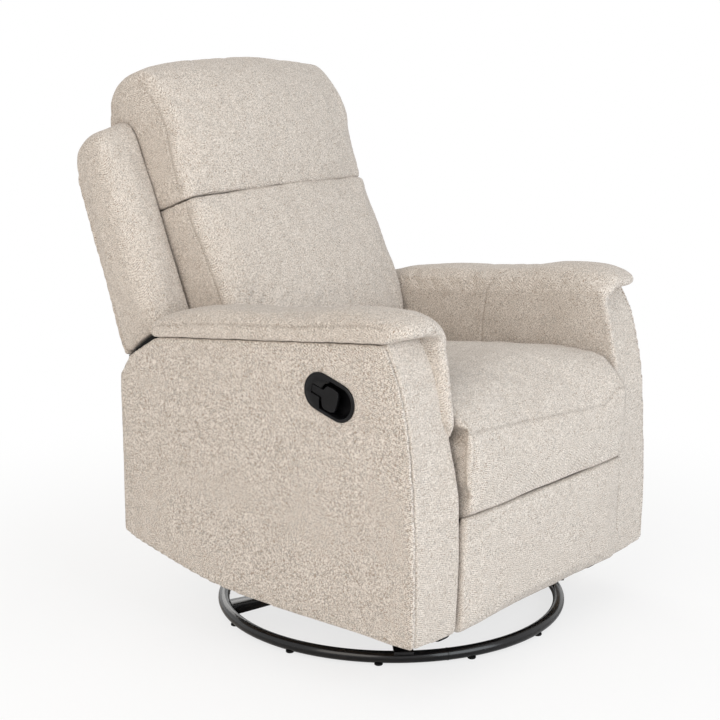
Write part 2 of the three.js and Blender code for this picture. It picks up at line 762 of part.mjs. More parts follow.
function seatSprings() {
  const front = -seatFrameFront + seatFrameRail / 2;
  const rear = seatFrameRear - seatFrameRail / 2;
  const reach = ((springCount - 1) / 2) * springPitch + springSwing;
  const section = new THREE.Shape(circle(at(0, 0), springWire / 2, 4));
  const height = springLow + springWire / 2;
  const wires = Array.from({ length: springCount }, (_, i) => {
    const middle = (i - (springCount - 1) / 2) * springPitch;
    const points = Array.from({ length: springSteps + 1 }, (_, k) => {
      const share = k / springSteps;
      const swing = springSwing * Math.sin(2 * Math.PI * springBends * share);
      return new THREE.Vector3(middle + swing, front + share * (rear - front), height);
    });
    const path = new THREE.CatmullRomCurve3(points);
    return new THREE.ExtrudeGeometry(section, { steps: springSteps, extrudePath: path, bevelEnabled: false });
  });
  const rails = [front, rear].map((y) => box(
    new THREE.Vector3(-reach, y - springWire, springLow),
    new THREE.Vector3(reach, y + springWire, springTop),
  ));
  return joined(...rails, ...wires);
}
hung(carriage, piece("seat_springs", seatSprings(), bareSteel));

function seatCushion() {
  const low = springTop + gap;
  const top = smooth(inBox(seatTopShares, -seatFront, seatFrameRear, seatSkirtBottom, seatCushionTop), 26);
  const skirtRear = -seatFrameFront - gap;
  const under = [at(skirtRear, seatSkirtBottom), at(skirtRear, low), at(seatFrameRear, low)];
  const outline = divided(withoutDoubles([...top, ...under]), seatSkirtDepth);
  const seated = (p) => p.y <= low + gap && p.x >= skirtRear - gap;
  const draw = alongNormals((ahead, p) => (seated(p) ? 0 : Math.max(0, ahead.y, -ahead.x)));
  const body = across(outline, crowned(seatHalfWidth, seatCornerRadius, seatCornerRadius * 2), draw);
  const notches = sides.map(([, side]) => {
    const near = side * (plateNear - gap - linkThickness - linkClearance);
    const far = side * (seatHalfWidth + cutOverrun);
    const high = stayPivot.y + linkWidth / 2 + linkClearance;
    return box(
      new THREE.Vector3(Math.min(near, far), -seatFront - cutOverrun, seatSkirtBottom - cutOverrun),
      new THREE.Vector3(Math.max(near, far), skirtRear + cutOverrun, high),
    );
  });
  return cut(body, ...notches);
}
hung(carriage, piece("seat_cushion", seatCushion(), cloth));

// Arms
const armBox = [-armFrontReach, armRear, armLow, armHigh];
const armRearEdge = inBox(armRearShares, ...armBox);
const armTopEdge = inBox(armTopShares, ...armBox);
const armFrontEdge = smooth(inBox(armFrontShares, ...armBox), 12);
const armBottomEdge = smooth(inBox(armBottomShares, ...armBox), 12);

// Height of the arm's straight upper edge at a place along it
function armTopAt(y) {
  const [rear, front] = armTopEdge;
  return rear.y + ((y - rear.x) / (front.x - rear.x)) * (front.y - rear.y);
}

const setBack = (points, distance) =>
  points.map((p) => at(p.x + distance, Math.min(p.y, armTopAt(p.x + distance))));

function armOutline(frontSetBack) {
  const front = setBack(armFrontEdge, frontSetBack);
  const bottom = armBottomEdge.filter((p) => p.x > front[front.length - 1].x + armCorner);
  return withoutDoubles([...bottom, ...armRearEdge, armTopEdge[0], ...front]);
}

function outerPanel(side) {
  const outline = armOutline(armFrontPanel + gap);
  const near = armOuter - armPanel;
  const stations = [
    [near, 0], [armOuter - armCorner / 3, 0], [armOuter, armCorner / 3],
    [armOuter + armBulge / 2, armPanel], [armOuter + armBulge, armPanel * 3],
  ];
  const middle = at((armRear - armFrontReach) / 2, (armHigh + armLow) / 2);
  const half = at((armRear + armFrontReach) / 2, (armHigh - armLow) / 2);
  return across(outline, stations.map(([x, inset]) => [side * x, inset]), towards(middle, half));
}

// The inner panel turns across the arm's rear end and closes it behind the timber frame.
function innerPanel(side) {
  const outline = armOutline(armFrontPanel + gap);
  const inner = plate(outline, side, armInner, armInner + armPanel);
  const near = armInner + armPanel - weldDepth;
  const far = armOuter - armPanel - gap;
  const filled = plate(outline, side, near, far);
  const frame = inBox(armFrameShares, ...armBox);
  const edge = normalsOf(frame);
  const roomForFrame = frame.map((p, i) => p.clone().addScaledVector(edge[i], gap));
  const faces = [side * armInner, side * armOuter].sort((a, b) => a - b);
  const open = box(
    new THREE.Vector3(faces[0], -armFrontReach - cutOverrun, armLow - cutOverrun),
    new THREE.Vector3(faces[1], armRear - armRearWallReach, armHigh + cutOverrun),
  );
  const wall = cut(filled, plate(roomForFrame, side, armInner, armOuter), open);
  return joined(inner, wall);
}

function armFrame(side) {
  const outline = inBox(armFrameShares, ...armBox);
  const edge = normalsOf(outline);
  const window = outline.map((p, i) => p.clone().addScaledVector(edge[i], -armRail));
  return plate(outline, side, armInner + armPanel + gap, armOuter - armPanel - gap, [window]);
}

function frontPanel(side) {
  const rear = setBack(armFrontEdge, armFrontPanel).reverse();
  const front = armFrontEdge.map((p) => at(p.x, Math.min(p.y, armTopAt(p.x))));
  const outline = withoutDoubles([...front, ...rear]);
  const edge = armCorner;
  const stations = [
    [armInner, edge / 2], [armInner + edge / 2, edge / 8], [armInner + edge, 0],
    [armOuter - edge, 0], [armOuter - edge / 2, edge / 8], [armOuter, edge / 2],
  ];
  const draw = alongNormals((ahead) => Math.max(0, -ahead.x));
  return across(outline, stations.map(([x, inset]) => [side * x, inset]), draw);
}

function armPad(side) {
  const top = smooth(inBox(padTopShares, -padFront, padRear, padLow, padHigh), 28);
  const seated = (y) => at(y, armTopAt(y) + gap);
  const outline = [seated(padRear - padEdge), ...top, seated(-padFront + padNose)];
  const middle = (padRear - padFront) / 2;
  const draw = (p, drawnIn) => {
    const y = middle + (p.x - middle) * (1 - drawnIn / (padFront + middle));
    const above = (p.y - armTopAt(p.x) - gap) * (1 - drawnIn / (padHigh - padLow));
    return at(y, armTopAt(y) + gap + above);
  };
  const centre = (padInner + padOuter) / 2;
  const stations = crowned((padOuter - padInner) / 2, padCrown, padEdge);
  const body = across(outline, stations.map(([x, inset]) => [side * (centre + x), inset]), draw);
  return joined(body, padWrap(side));
}

// The strip that turns down the inner front edge of the arm and narrows to a point.
function padWrap(side) {
  const inside = armFrontEdge.filter((p) => p.y > wrapBottom).map((p) => at(p.x - gap, p.y));
  const outside = inside.map((p, i) => {
    const share = i / (inside.length - 1);
    return at(p.x - wrapThickness * (1 - share * share) - gap, p.y);
  }).reverse();
  const high = inside[0];
  const outline = [...inside, ...outside, at(high.x, high.y + wrapThickness)];
  const whole = plate(withoutDoubles(outline), side, seatHalfWidth + gap, armInner + wrapWidth);
  const taper = [
    at(armInner + wrapWidth, armHigh + wrapWidth), at(armInner + wrapWidth + cutOverrun, armHigh + wrapWidth),
    at(armInner + wrapWidth + cutOverrun, wrapBottom - wrapWidth), at(armInner, wrapBottom - wrapWidth),
    at(armInner + gap, wrapBottom),
  ].map((p) => at(side * p.x, p.y));
  const tool = new THREE.ExtrudeGeometry(new THREE.Shape(taper), { depth: armRear, bevelEnabled: false });
  tool.rotateX(Math.PI / 2);
  return cut(whole, tool);
}

const cupPlace = at(-handleForward, armTopAt(-handleForward) - handleBelowArm);
const cupAlong = at(Math.cos(handleTiltDegrees * degrees), Math.sin(handleTiltDegrees * degrees));
const cupEnds = (length, width) =>
  [1, -1].map((way) => cupPlace.clone().addScaledVector(cupAlong, (way * (length - width)) / 2));
const stadium = (length, width) => bar(...cupEnds(length, width), width);

for (const [name, side] of sides) {
  const withHandle = side < 0;
  const room = stadium(cupLength + 2 * gap, cupWidth + 2 * gap);
  const hole = plate(room, side, armOuter - armPanel - cutOverrun, armOuter + armPanel);
  const cableWay = pin(cableEnd, cableHole, side, armInner - cutOverrun, armInner + armPanel + cutOverrun);
  const outer = withHandle ? cut(outerPanel(side), hole) : outerPanel(side);
  const inner = withHandle ? cut(innerPanel(side), cableWay) : innerPanel(side);
  hung(carriage, piece(`arm_outer_panel_${name}`, outer, cloth));
  hung(carriage, piece(`arm_inner_panel_${name}`, inner, cloth));
  hung(carriage, piece(`arm_frame_${name}`, armFrame(side), wood));
  hung(carriage, piece(`arm_front_panel_${name}`, frontPanel(side), cloth));
  hung(carriage, piece(`arm_pad_${name}`, armPad(side), cloth));
}

function rearLowerPanel() {
  const low = armRearEdge[0].y;
  return box(
    new THREE.Vector3(-armInner + gap, armRear - rearPanelSetIn - rearPanelThickness, low),
    new THREE.Vector3(armInner - gap, armRear - rearPanelSetIn, rearPanelTop),
  );
}
hung(carriage, piece("rear_lower_panel", rearLowerPanel(), cloth));

// Release handle: cup, paddle and cable, on the sitter's right
const lipNear = armOuter + armBulge + gap;
const lipFar = lipNear + cupLip;
const cupFloor = lipNear - cupDepth;

function handleCup() {
  const body = plate(stadium(cupLength, cupWidth), -1, cupFloor, lipNear + weldDepth);
  const rim = (grown) => stadium(cupLength + 2 * grown, cupWidth + 2 * grown);
  const lip = plate(rim(cupLipWidth), -1, lipNear, lipFar);
  const hollow = plate(rim(-cupWall), -1, cupFloor + cupWall, lipFar + cutOverrun);
  return cut(joined(body, lip), hollow);
}
hung(carriage, piece("handle_cup", handleCup(), blackPlastic));

const paddleHinge = cupPlace.clone().addScaledVector(cupAlong, paddleReach);
const paddleFar = lipFar - paddleSet;
const paddleNear = paddleFar - paddleThickness;

function releasePaddle() {
  const middle = cupPlace.clone().addScaledVector(cupAlong, -paddleHeadRun / 2);
  const headEnd = middle.clone().addScaledVector(cupAlong, paddleHeadRun);
  const head = plate(bar(middle, headEnd, paddleHead * 2 - paddleHeadRun / 2), -1, paddleNear, paddleFar);
  const stem = plate(bar(cupPlace, paddleHinge, paddleStem), -1, paddleNear, paddleFar);
  const round = (cupWidth / 2 - cupWall) * Math.cos(Math.PI / roundSteps);
  const reach = Math.sqrt(round ** 2 - (paddleReach + paddlePin - (cupLength - cupWidth) / 2) ** 2) - gap;
  const rod = new THREE.CylinderGeometry(paddlePin, paddlePin, 2 * reach, roundSteps);
  rod.rotateX(Math.PI / 2);
  rod.rotateX(handleTiltDegrees * degrees);
  rod.translate(-(paddleNear + paddleFar) / 2, paddleHinge.x, paddleHinge.y);
  return joined(head, stem, rod);
}
const lever = part(carriage, "lever");
lever.position.set(
  -(paddleNear + paddleFar) / 2,
  paddleHinge.x - carriage.position.y,
  paddleHinge.y - carriage.position.z,
);
const paddle = piece("release_paddle", releasePaddle(), blackPlastic);
paddle.position.set((paddleNear + paddleFar) / 2, -paddleHinge.x, -paddleHinge.y);
lever.add(paddle);

function releaseCable() {
  const start = cupFloor - gap;
  const drop = (armInner + armOuter) / 2;
  const end = armInner;
  const leave = at(-cableLeaveForward, cupPlace.y);
  const points = [
    [start, leave.x, leave.y], [start - cableWidth, leave.x, leave.y],
    [(start + drop) / 2, leave.x, leave.y - cableWidth], [drop, leave.x, leave.y - cableBendRun],
    [drop, (leave.x + cableEnd.x) / 2, (leave.y + cableEnd.y) / 2],
    [drop, cableEnd.x, cableEnd.y + cableBendRun],
    [(drop + end) / 2 + cableWidth, cableEnd.x, cableEnd.y + cableWidth],
    [end + armPanel, cableEnd.x, cableEnd.y],
    [end, cableEnd.x, cableEnd.y],
  ].map(([x, y, z]) => new THREE.Vector3(-x, y, z));
  const section = new THREE.Shape(circle(at(0, 0), cableWidth / 2, cableSides));
  const path = new THREE.CatmullRomCurve3(points, false, "centripetal");
  return new THREE.ExtrudeGeometry(section, { steps: cableSteps, extrudePath: path, bevelEnabled: false });
}
hung(carriage, piece("release_cable", releaseCable(), blackPlastic));

// Backrest
const back = part(carriage, "backrest");
back.position.set(0, hingeRear - carriage.position.y, hingeHeight - carriage.position.z);
back.rotation.x = -leanDegrees * degrees;
const postSet = backPanelFront - gap - postWidth;

function backPost(side) {
  const eye = circle(at(0, 0), hingeEye);
  const outline = [
    at(0, -hingeEye), at(hingeEye, 0), at(postSet + postWidth, postKnee), at(postSet + postWidth, postTop),
    at(postSet, postTop), at(postSet, postKnee), at(-hingeEye, 0),
  ];
  const strap = plate(outline, side, postNear, postFar);
  const stub = pin(at(0, 0), hingePin, side, postFar - weldDepth, plateFar);
  return joined(strap, plate(eye, side, postNear, postFar), stub);
}

function backRearPanel() {
  const half = inBox(backPanelShares, 0, backPanelHalfWidth, backPanelBottom, backPanelTop);
  const outline = [...half, ...half.map((p) => at(-p.x, p.y)).reverse()];
  const shape = new THREE.Shape(softened(outline, backPanelCorner));
  const sheet = new THREE.ExtrudeGeometry(shape, { depth: backPanelThickness, bevelEnabled: false });
  sheet.rotateX(Math.PI / 2);
  sheet.translate(0, backPanelFront + backPanelThickness, 0);
  return sheet;
}

function backWing(side) {
  const points = inBox(wingShares, -wingFront, backPanelFront - gap, wingLow, wingHigh);
  const outline = divided(softened(points, wingEdge, 2), armRail * 2);
  const stations = [[wingInner, 0], [wingOuter - wingEdge * 2, 0]];
  for (let i = 1; i <= wingEdgeSteps; i += 1) {
    const turn = (Math.PI / 2) * (i / wingEdgeSteps);
    stations.push([wingOuter - wingEdge * 2 * (1 - Math.sin(turn)), wingEdge * (1 - Math.cos(turn))]);
  }
  const middle = at(backPanelFront - gap, (wingLow + wingHigh) / 2);
  const draw = towards(middle, at(backPanelFront + wingFront, (wingHigh - wingLow) / 2));
  return across(outline, stations.map(([x, inset]) => [side * x, inset]), draw);
}

const cushionRear = backPanelFront - gap;

function backCushion() {
  const bulge = inBox(backFrontShares, 0, -backCushionFront, backCushionLow, tuckHeight);
  const front = smooth(bulge, 20).reverse();
  const rear = [at(cushionRear, backCushionLow), at(cushionRear, tuckHeight)];
  const outline = withoutDoubles([...front, ...rear]);
  const reach = at(backCushionFront + cushionRear, tuckHeight - backCushionLow);
  const draw = towards(at(cushionRear, tuckHeight), reach);
  return across(outline, crowned(backHalfWidth, backCrown, backEdge), draw);
}

function headrest() {
  const low = tuckHeight + tuckGap;
  const front = smooth(inBox(headFrontShares, 0, -headFront, low, headHigh), 26).reverse();
  const shelf = backPanelTop + gap;
  const rear = [at(cushionRear + headRearBulge, shelf), at(cushionRear, shelf), at(cushionRear, low)];
  const outline = withoutDoubles([...front.reverse(), ...rear]);
  const draw = (p, drawnIn) => {
    const height = p.y > shelf ? shelf + (p.y - shelf) * (1 - drawnIn / (headHigh - shelf)) : p.y;
    return at(cushionRear + (p.x - cushionRear) * (1 - drawnIn / (headFront + cushionRear)), height);
  };
  return across(outline, crowned(headHalfWidth, backCrown, backEdge), draw);
}

for (const [name, side] of sides) {
  back.add(piece(`back_post_${name}`, backPost(side), blackSteel));
  back.add(piece(`back_wing_${name}`, backWing(side), cloth));
}
back.add(piece("back_rear_panel", backRearPanel(), cloth));
back.add(piece("back_cushion", backCushion(), cloth));
back.add(piece("headrest_cushion", headrest(), cloth));

// Footrest
const layer = (count) => plateNear - gap - count * (linkThickness + gap);
const driveFar = layer(0);
const extensionFar = layer(1);
const controlFar = layer(2);
const bracketFar = layer(3);

const drive = part(chair, "footrest_drive", drivePivot.x, drivePivot.y);
const stays = part(chair, "footrest_stays", stayPivot.x, stayPivot.y);
const extension = part(chair, "footrest_extension", driveEnd.x, driveEnd.y);
const controls = part(chair, "footrest_controls", crankPivot.x, crankPivot.y);
const board = part(chair, "footrest_board", bracketPivot.x, bracketPivot.y);

function link(side, far, runs, holes, pins) {
  const near = far - linkThickness;
  const blanks = runs.map(([a, b]) => plate(bar(a, b, linkWidth), side, near, far));
  const body = joined(...blanks, ...pins.map(([centre, from, to]) => pin(centre, linkPin, side, from, to)));
  const bore = (centre, play) => pin(centre, linkPin + play, side, near - cutOverrun, far + cutOverrun);
  const tools = holes.map(([centre, play]) => bore(centre, play));
  return tools.length ? cut(body, ...tools) : body;
}

for (const [name, side] of sides) {
  const driveRuns = [[drivePivot, driveEnd], [driveEnd, crankPivot]];
  const driveLink = link(side, driveFar, driveRuns, [[driveEnd, pinPlay]], [
    [drivePivot, driveFar - weldDepth, plateFar],
    [crankPivot, controlFar - linkThickness, driveFar - weldDepth],
  ]);
  const stayLink = link(side, driveFar, [[stayPivot, stayEnd]], [[stayEnd, pinPlay]], [
    [stayPivot, driveFar - weldDepth, plateFar],
  ]);
  const extensionLink = link(side, extensionFar, [[driveEnd, bracketPivot]], [[bracketPivot, pinPlay]], [
    [driveEnd, extensionFar - weldDepth, driveFar],
    [stayEnd, extensionFar - weldDepth, driveFar],
  ]);
  const controlHoles = [[crankPivot, pinPlay], [controlPivot, openPivotPlay]];
  const controlLink = link(side, controlFar, [[crankPivot, controlPivot]], controlHoles, []);
  hung(drive, piece(`footrest_drive_link_${name}`, driveLink, bareSteel));
  hung(stays, piece(`footrest_stay_link_${name}`, stayLink, bareSteel));
  hung(extension, piece(`footrest_extension_link_${name}`, extensionLink, bareSteel));
  hung(controls, piece(`footrest_control_link_${name}`, controlLink, bareSteel));
}

const bumper = at(-bumperForward, bumperHeight);
const bumperPin = layer(1) - layer(2);
const bracketRear = controlPivot.x + bracketBehind;
const bracketLow = bracketPivot.y - bracketBelow;
const bracketHigh = controlPivot.y + bracketAbove;

function footrestBoard() {
  const sheet = box(
    new THREE.Vector3(-boardHalfWidth, -boardBack - boardThickness, boardLow),
    new THREE.Vector3(boardHalfWidth, -boardBack, boardHigh),
  );
  const brackets = sides.flatMap(([, side]) => {
    const near = bracketFar - linkThickness;
    const rim = [
      at(-boardBack - weldDepth, bracketLow), at(bracketRear, bracketLow),
      at(bracketRear, bracketHigh), at(-boardBack - weldDepth, bracketHigh),
    ];
    const leg = bar(at(bumper.x, bracketLow + linkWidth), bumper, linkWidth);
    return [
      plate(softened(rim, linkWidth / 3, 2), side, near, bracketFar),
      plate(leg, side, near, bracketFar),
      pin(bumper, linkPin, side, bracketFar - weldDepth, bracketFar + bumperPin),
      pin(bracketPivot, linkPin, side, bracketFar - weldDepth, extensionFar),
      pin(controlPivot, linkPin, side, bracketFar - weldDepth, controlFar),
    ];
  });
  return joined(sheet, ...brackets);
}
hung(board, piece("footrest_board", footrestBoard(), wood));
for (const [name, side] of sides) {
  const disc = plate(circle(bumper, bumperWidth / 2, roundSteps * 2), side, bracketFar + gap, seatHalfWidth);
  const bore = pin(bumper, linkPin + gap, side, bracketFar - cutOverrun, bracketFar + bumperPin + gap);
  hung(board, piece(`footrest_bumper_${name}`, cut(disc, bore), rubber));
}

function footrestPad() {
  const rear = -boardBack - boardThickness - gap;
  const points = rectangle(-footPadFront, rear, footPadLow, footPadHigh);
  const outline = divided(softened(points, footPadEdge, 3), armRail);
  const draw = alongNormals((ahead) => Math.max(0, -ahead.x));
  return across(outline, crowned(seatHalfWidth, padCrown, footPadEdge), draw);
}
hung(board, piece("footrest_pad", footrestPad(), cloth));

export default chair;
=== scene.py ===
import json
import math

import bmesh
import bpy
import numpy as np
from mathutils import Matrix, Vector, noise


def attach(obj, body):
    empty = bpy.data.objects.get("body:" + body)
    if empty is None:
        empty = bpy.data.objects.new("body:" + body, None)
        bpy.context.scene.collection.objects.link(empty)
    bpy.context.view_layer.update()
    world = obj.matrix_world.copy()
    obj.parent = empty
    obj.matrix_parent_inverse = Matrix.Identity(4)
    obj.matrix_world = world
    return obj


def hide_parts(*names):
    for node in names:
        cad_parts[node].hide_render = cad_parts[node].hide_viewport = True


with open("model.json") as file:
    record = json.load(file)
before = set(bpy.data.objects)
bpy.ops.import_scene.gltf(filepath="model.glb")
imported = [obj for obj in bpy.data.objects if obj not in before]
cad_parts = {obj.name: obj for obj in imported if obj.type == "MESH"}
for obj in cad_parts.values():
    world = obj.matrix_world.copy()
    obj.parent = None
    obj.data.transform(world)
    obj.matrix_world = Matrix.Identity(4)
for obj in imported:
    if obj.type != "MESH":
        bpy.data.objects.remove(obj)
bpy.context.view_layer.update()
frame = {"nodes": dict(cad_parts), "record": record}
nodes = frame["nodes"]
scene = bpy.context.scene
sides = {1: "left", -1: "right"}  # the sitter's left is +X, and the handle is on the right
print("frame loaded:", len(nodes), "nodes")

# Places are written in millimetres, along Y from the swivel axis and up from the floor
axisAhead = 68
hinge = {"rear": 226, "height": 304, "lean": math.radians(20)}


def spot(x, y, z):
    return Vector((x, y - axisAhead, z)) / 1000


def leaned(x, depth, height):  # on the backrest: depth rearward and height up it, from its hinge
    c, s = math.cos(hinge["lean"]), math.sin(hinge["lean"])
    return spot(x, hinge["rear"] + depth * c + height * s, hinge["height"] - depth * s + height * c)


# camera
camera = {
    "place": (-2.2683, -1.8490, 1.0864), "right": (0.6334, -0.7738, 0.0), "up": (0.1635, 0.1338, 0.9775),
    "lens": 80.42, "sensor": 36.0}


def shown(name, data):
    made = bpy.data.objects.new(name, data)
    scene.collection.objects.link(made)
    return made


def addCamera():
    data = bpy.data.cameras.new("camera")
    data.lens = camera["lens"]
    data.sensor_width = camera["sensor"]
    eye = shown("camera", data)
    right, up = Vector(camera["right"]).normalized(), Vector(camera["up"]).normalized()
    turn = Matrix((right, up, right.cross(up))).transposed().to_4x4()
    eye.matrix_world = Matrix.Translation(camera["place"]) @ turn
    scene.camera = eye


# a shader socket that adds Math nodes when it is used in a sum
class Wire:
    def __init__(self, sheet, socket):
        self.sheet, self.socket = sheet, socket

    def __add__(self, other):
        return self.sheet.math("ADD", self, other)

    def __sub__(self, other):
        return self.sheet.math("SUBTRACT", self, other)

    def __mul__(self, other):
        return self.sheet.math("MULTIPLY", self, other)


class Sheet:
    def __init__(self, name, world=None):
        self.owner = world or bpy.data.materials.new(name)
        self.owner.use_nodes = True
        self.owner.node_tree.nodes.clear()

    def add(self, kind, settings=None, inputs=None, output=0):
        node = self.owner.node_tree.nodes.new("ShaderNode" + kind)
        for key, value in (settings or {}).items():
            if key == "stops":
                while len(node.color_ramp.elements) < len(value):
                    node.color_ramp.elements.new(1)
                for stop, (where, tone) in zip(node.color_ramp.elements, value):
                    stop.position, stop.color = where, (tone, tone, tone, 1)
            else:
                setattr(node, key, value)
        for key, value in (inputs or {}).items():
            if isinstance(value, Wire):
                self.owner.node_tree.links.new(value.socket, node.inputs[key])
            elif isinstance(value, tuple) and len(value) == 3 and node.inputs[key].type == "RGBA":
                node.inputs[key].default_value = (*value, 1)
            else:
                node.inputs[key].default_value = value
        return Wire(self, node.outputs[output]) if len(node.outputs) else None

    def math(self, operation, *values):
        return self.add("Math", {"operation": operation}, dict(enumerate(values)))

    def place(self):  # where a point is on its own object
        return self.add("TexCoord", output=3)

    def blend(self, factor, first, second):  # two colours
        return self.add("Mix", {"data_type": "RGBA"}, {0: factor, 6: first, 7: second}, output=2)

    def noise(self, place, scale, detail, roughness):
        return self.add("TexNoise", None,
                        {"Vector": place, "Scale": scale, "Detail": detail, "Roughness": roughness})

    def ramp(self, factor, *stops):
        return self.add("ValToRGB", {"stops": stops}, {"Fac": factor})

    def stretched(self, place, scale, turn=(0.0, 0.0, 0.0)):
        return self.add("Mapping", None, {"Vector": place, "Scale": scale, "Rotation": turn})

    def raised(self, height, distance, strength):
        return self.add("Bump", None, {"Height": height, "Distance": distance, "Strength": strength})

    def finish(self, **inputs):
        shader = self.add("BsdfPrincipled", None, {key.replace("_", " "): v for key, v in inputs.items()})
        self.add("OutputMaterial", None, {"Surface": shader})
        return self.owner


# cloth: colours (one of them the painted seam shade), noise scales, and the ribs' pitch and depth in metres
weave = {
    "light": (0.770, 0.712, 0.652), "thread": (0.560, 0.503, 0.448), "brown": (0.300, 0.232, 0.180),
    "grey": (0.250, 0.232, 0.208), "worn": (0.50, 0.44, 0.38), "seamShade": (0.12, 0.09, 0.065),
    "fibre": 1000.0, "patch": 55.0, "broad": 9.0, "yarn": 210.0, "twill": 0.0032, "zigzag": 0.011,
    "relief": 0.0009, "seam": 0.26}
plyPitch = 2100.0


def woven(name, spread, fleckSize):  # a narrower spread makes the flecks stand out more
    sheet = Sheet(name)
    place = sheet.place()
    x, y, z = (sheet.add("SeparateXYZ", None, {0: place}, output=i) for i in range(3))
    # fine diagonal ribs that change direction every few threads, on faces of any direction
    turned = sheet.math("PINGPONG", x + y, weave["zigzag"])
    phase = (z + (y - x) * 0.6 + turned) * (2 * math.pi / weave["twill"])
    rib = sheet.math("SINE", phase) * 0.5 + 0.5
    fleck = sheet.noise(place, fleckSize, 2.0, 0.6)
    fibre = sheet.noise(sheet.stretched(place, (1.0, 1.0, 0.5), (0.5, 0.4, 0.3)), weave["fibre"], 2.0, 0.6)
    patch = sheet.noise(place, weave["patch"], 3.0, 0.6)
    broad = sheet.noise(place, weave["broad"], 2.0, 0.5)
    yarn = sheet.noise(place, weave["yarn"], 1.0, 0.5)
    tone = sheet.ramp(fleck * 0.62 + fibre * 0.20 + rib * 0.10 + patch * 0.08,
                      (0.5 - spread, 0.0), (0.50, 0.5), (0.5 + spread, 1.0))
    darker = sheet.ramp(tone, (0.0, 0.0), (0.5, 1.0))
    lighter = sheet.ramp(tone, (0.5, 0.0), (1.0, 1.0))
    dark = sheet.blend(sheet.ramp(yarn, (0.42, 0.0), (0.58, 1.0)), weave["brown"], weave["grey"])
    cloth = sheet.blend(lighter, sheet.blend(darker, dark, weave["thread"]), weave["light"])
    cloth = sheet.blend((broad - 0.5) * 0.30 + 0.05, cloth, weave["worn"])
    # painted shade: the cloth darkens toward a dark brown along the seams, as if their grooves fell in shade
    seam = sheet.add("Attribute", {"attribute_name": "seam"}, output=2)
    cloth = sheet.blend(seam * weave["seam"], cloth, weave["seamShade"])
    normal = sheet.raised(fleck * 0.62 + fibre * 0.20 + rib * 0.30, weave["relief"], 0.6)
    return sheet.finish(Base_Color=cloth, Roughness=0.92, Normal=normal, Specular_IOR_Level=0.16,
                        Sheen_Weight=0.12, Sheen_Roughness=0.55)


def black(name, cloud, skin, tones, rough, relief, **extra):  # two noises, each by scale, detail, roughness
    sheet = Sheet(name)
    place = sheet.place()
    cloud, skin = sheet.noise(place, *cloud), sheet.noise(place, *skin)
    return sheet.finish(Base_Color=sheet.blend(cloud, *tones), Roughness=cloud * rough[1] + rough[0],
                        Normal=sheet.raised(skin, *relief), **extra)


def plated():
    sheet = Sheet("zinc_plate")
    place = sheet.place()
    brushed = sheet.noise(sheet.stretched(place, (40.0, 6.0, 300.0)), 6.0, 4.0, 0.6)
    cloud = sheet.noise(place, 55.0, 3.0, 0.55)
    return sheet.finish(Base_Color=sheet.blend(cloud, (0.34, 0.34, 0.35), (0.52, 0.52, 0.53)), Metallic=0.9,
                        Roughness=brushed * 0.25 + 0.28, Normal=sheet.raised(brushed, 0.0002, 0.2))


def plywood():
    sheet = Sheet("plywood")
    place = sheet.place()
    bent = sheet.noise(place, 7.0, 3.0, 0.55)
    grain = sheet.noise(sheet.stretched(place, (90.0, 4.0, 90.0)), 1.6, 5.0, 0.65)
    z = sheet.add("SeparateXYZ", None, {0: place}, output=2)
    ply = sheet.math("SINE", z * plyPitch + bent * 3.0) * 0.5 + 0.5
    tone = sheet.blend(grain * 0.75 + ply * 0.25, (0.58, 0.40, 0.22), (0.36, 0.22, 0.11))
    return sheet.finish(Base_Color=tone, Roughness=grain * 0.2 + 0.62, Normal=sheet.raised(grain, 0.0003, 0.3))


finishes = {
    "upholstery": woven("oatmeal_weave", 0.115, 470.0),
    "upholstery_flank": woven("oatmeal_weave_flank", 0.052, 440.0),
    "black_steel": black("satin_black_paint", (60.0, 4.0, 0.6), (900.0, 2.0, 0.5),
                         ((0.003, 0.003, 0.0035), (0.008, 0.008, 0.009)), (0.15, 0.08), (0.0001, 0.12),
                         Coat_Weight=0.12, Coat_Roughness=0.06, Specular_IOR_Level=0.34),
    "black_plastic": black("black_moulding", (45.0, 3.0, 0.55), (1600.0, 3.0, 0.6),
                           ((0.003, 0.003, 0.0035), (0.007, 0.007, 0.008)), (0.24, 0.14), (0.00012, 0.2),
                           Specular_IOR_Level=0.2),
    "rubber": black("dull_rubber", (700.0, 3.0, 0.6), (700.0, 3.0, 0.6),
                    ((0.003, 0.003, 0.003), (0.010, 0.010, 0.010)), (0.62, 0.2), (0.0003, 0.4),
                    Specular_IOR_Level=0.15),
    "bare_steel": plated(),
    "timber": plywood()}
print("finishes made:", len(finishes))


# modelling helpers
def smooth(points, count):  # points at even steps on a smooth curve through given ones
    p = np.array(points, float)
    p = np.vstack([2 * p[0] - p[1], p, 2 * p[-1] - p[-2]])
    fine = []
    for i in range(1, len(p) - 2):
        t = np.linspace(0, 1, 24, endpoint=False)[:, None]
        a, b, c, d = p[i - 1:i + 3]
        fine.append(0.5 * (2 * b + (c - a) * t + (2 * a - 5 * b + 4 * c - d) * t ** 2
                           + (3 * b - a - 3 * c + d) * t ** 3))
    return even(np.vstack(fine + [p[-2][None]]), count)


def even(points, count):  # the same line, cut into equal steps
    p = np.array(points, float)
    run = np.concatenate([[0], np.cumsum(np.linalg.norm(np.diff(p, axis=0), axis=1))])
    at = np.linspace(0, run[-1], count)
    return np.stack([np.interp(at, run, p[:, k]) for k in range(p.shape[1])], axis=1)


def mirrored(stations):  # the same stations on both sides of the middle one
    return [-s for s in stations[:0:-1]] + stations


def turnedEdge(half, edge, turns):  # stations round a rounded edge
    return [half - edge + edge * math.sin(math.radians(t)) for t in turns]


def rolledIn(x, half, edge):  # how far a rounded edge has drawn in at a station, 0 to 1
    lean = max(0, abs(x) - half + edge) / edge
    return 1 - math.sqrt(max(0, 1 - lean * lean))


def looped(points, count, line=even):  # a closed loop in equal steps, straight or smooth
    return line(np.vstack([points, points[:1]]), count + 1)[:-1]


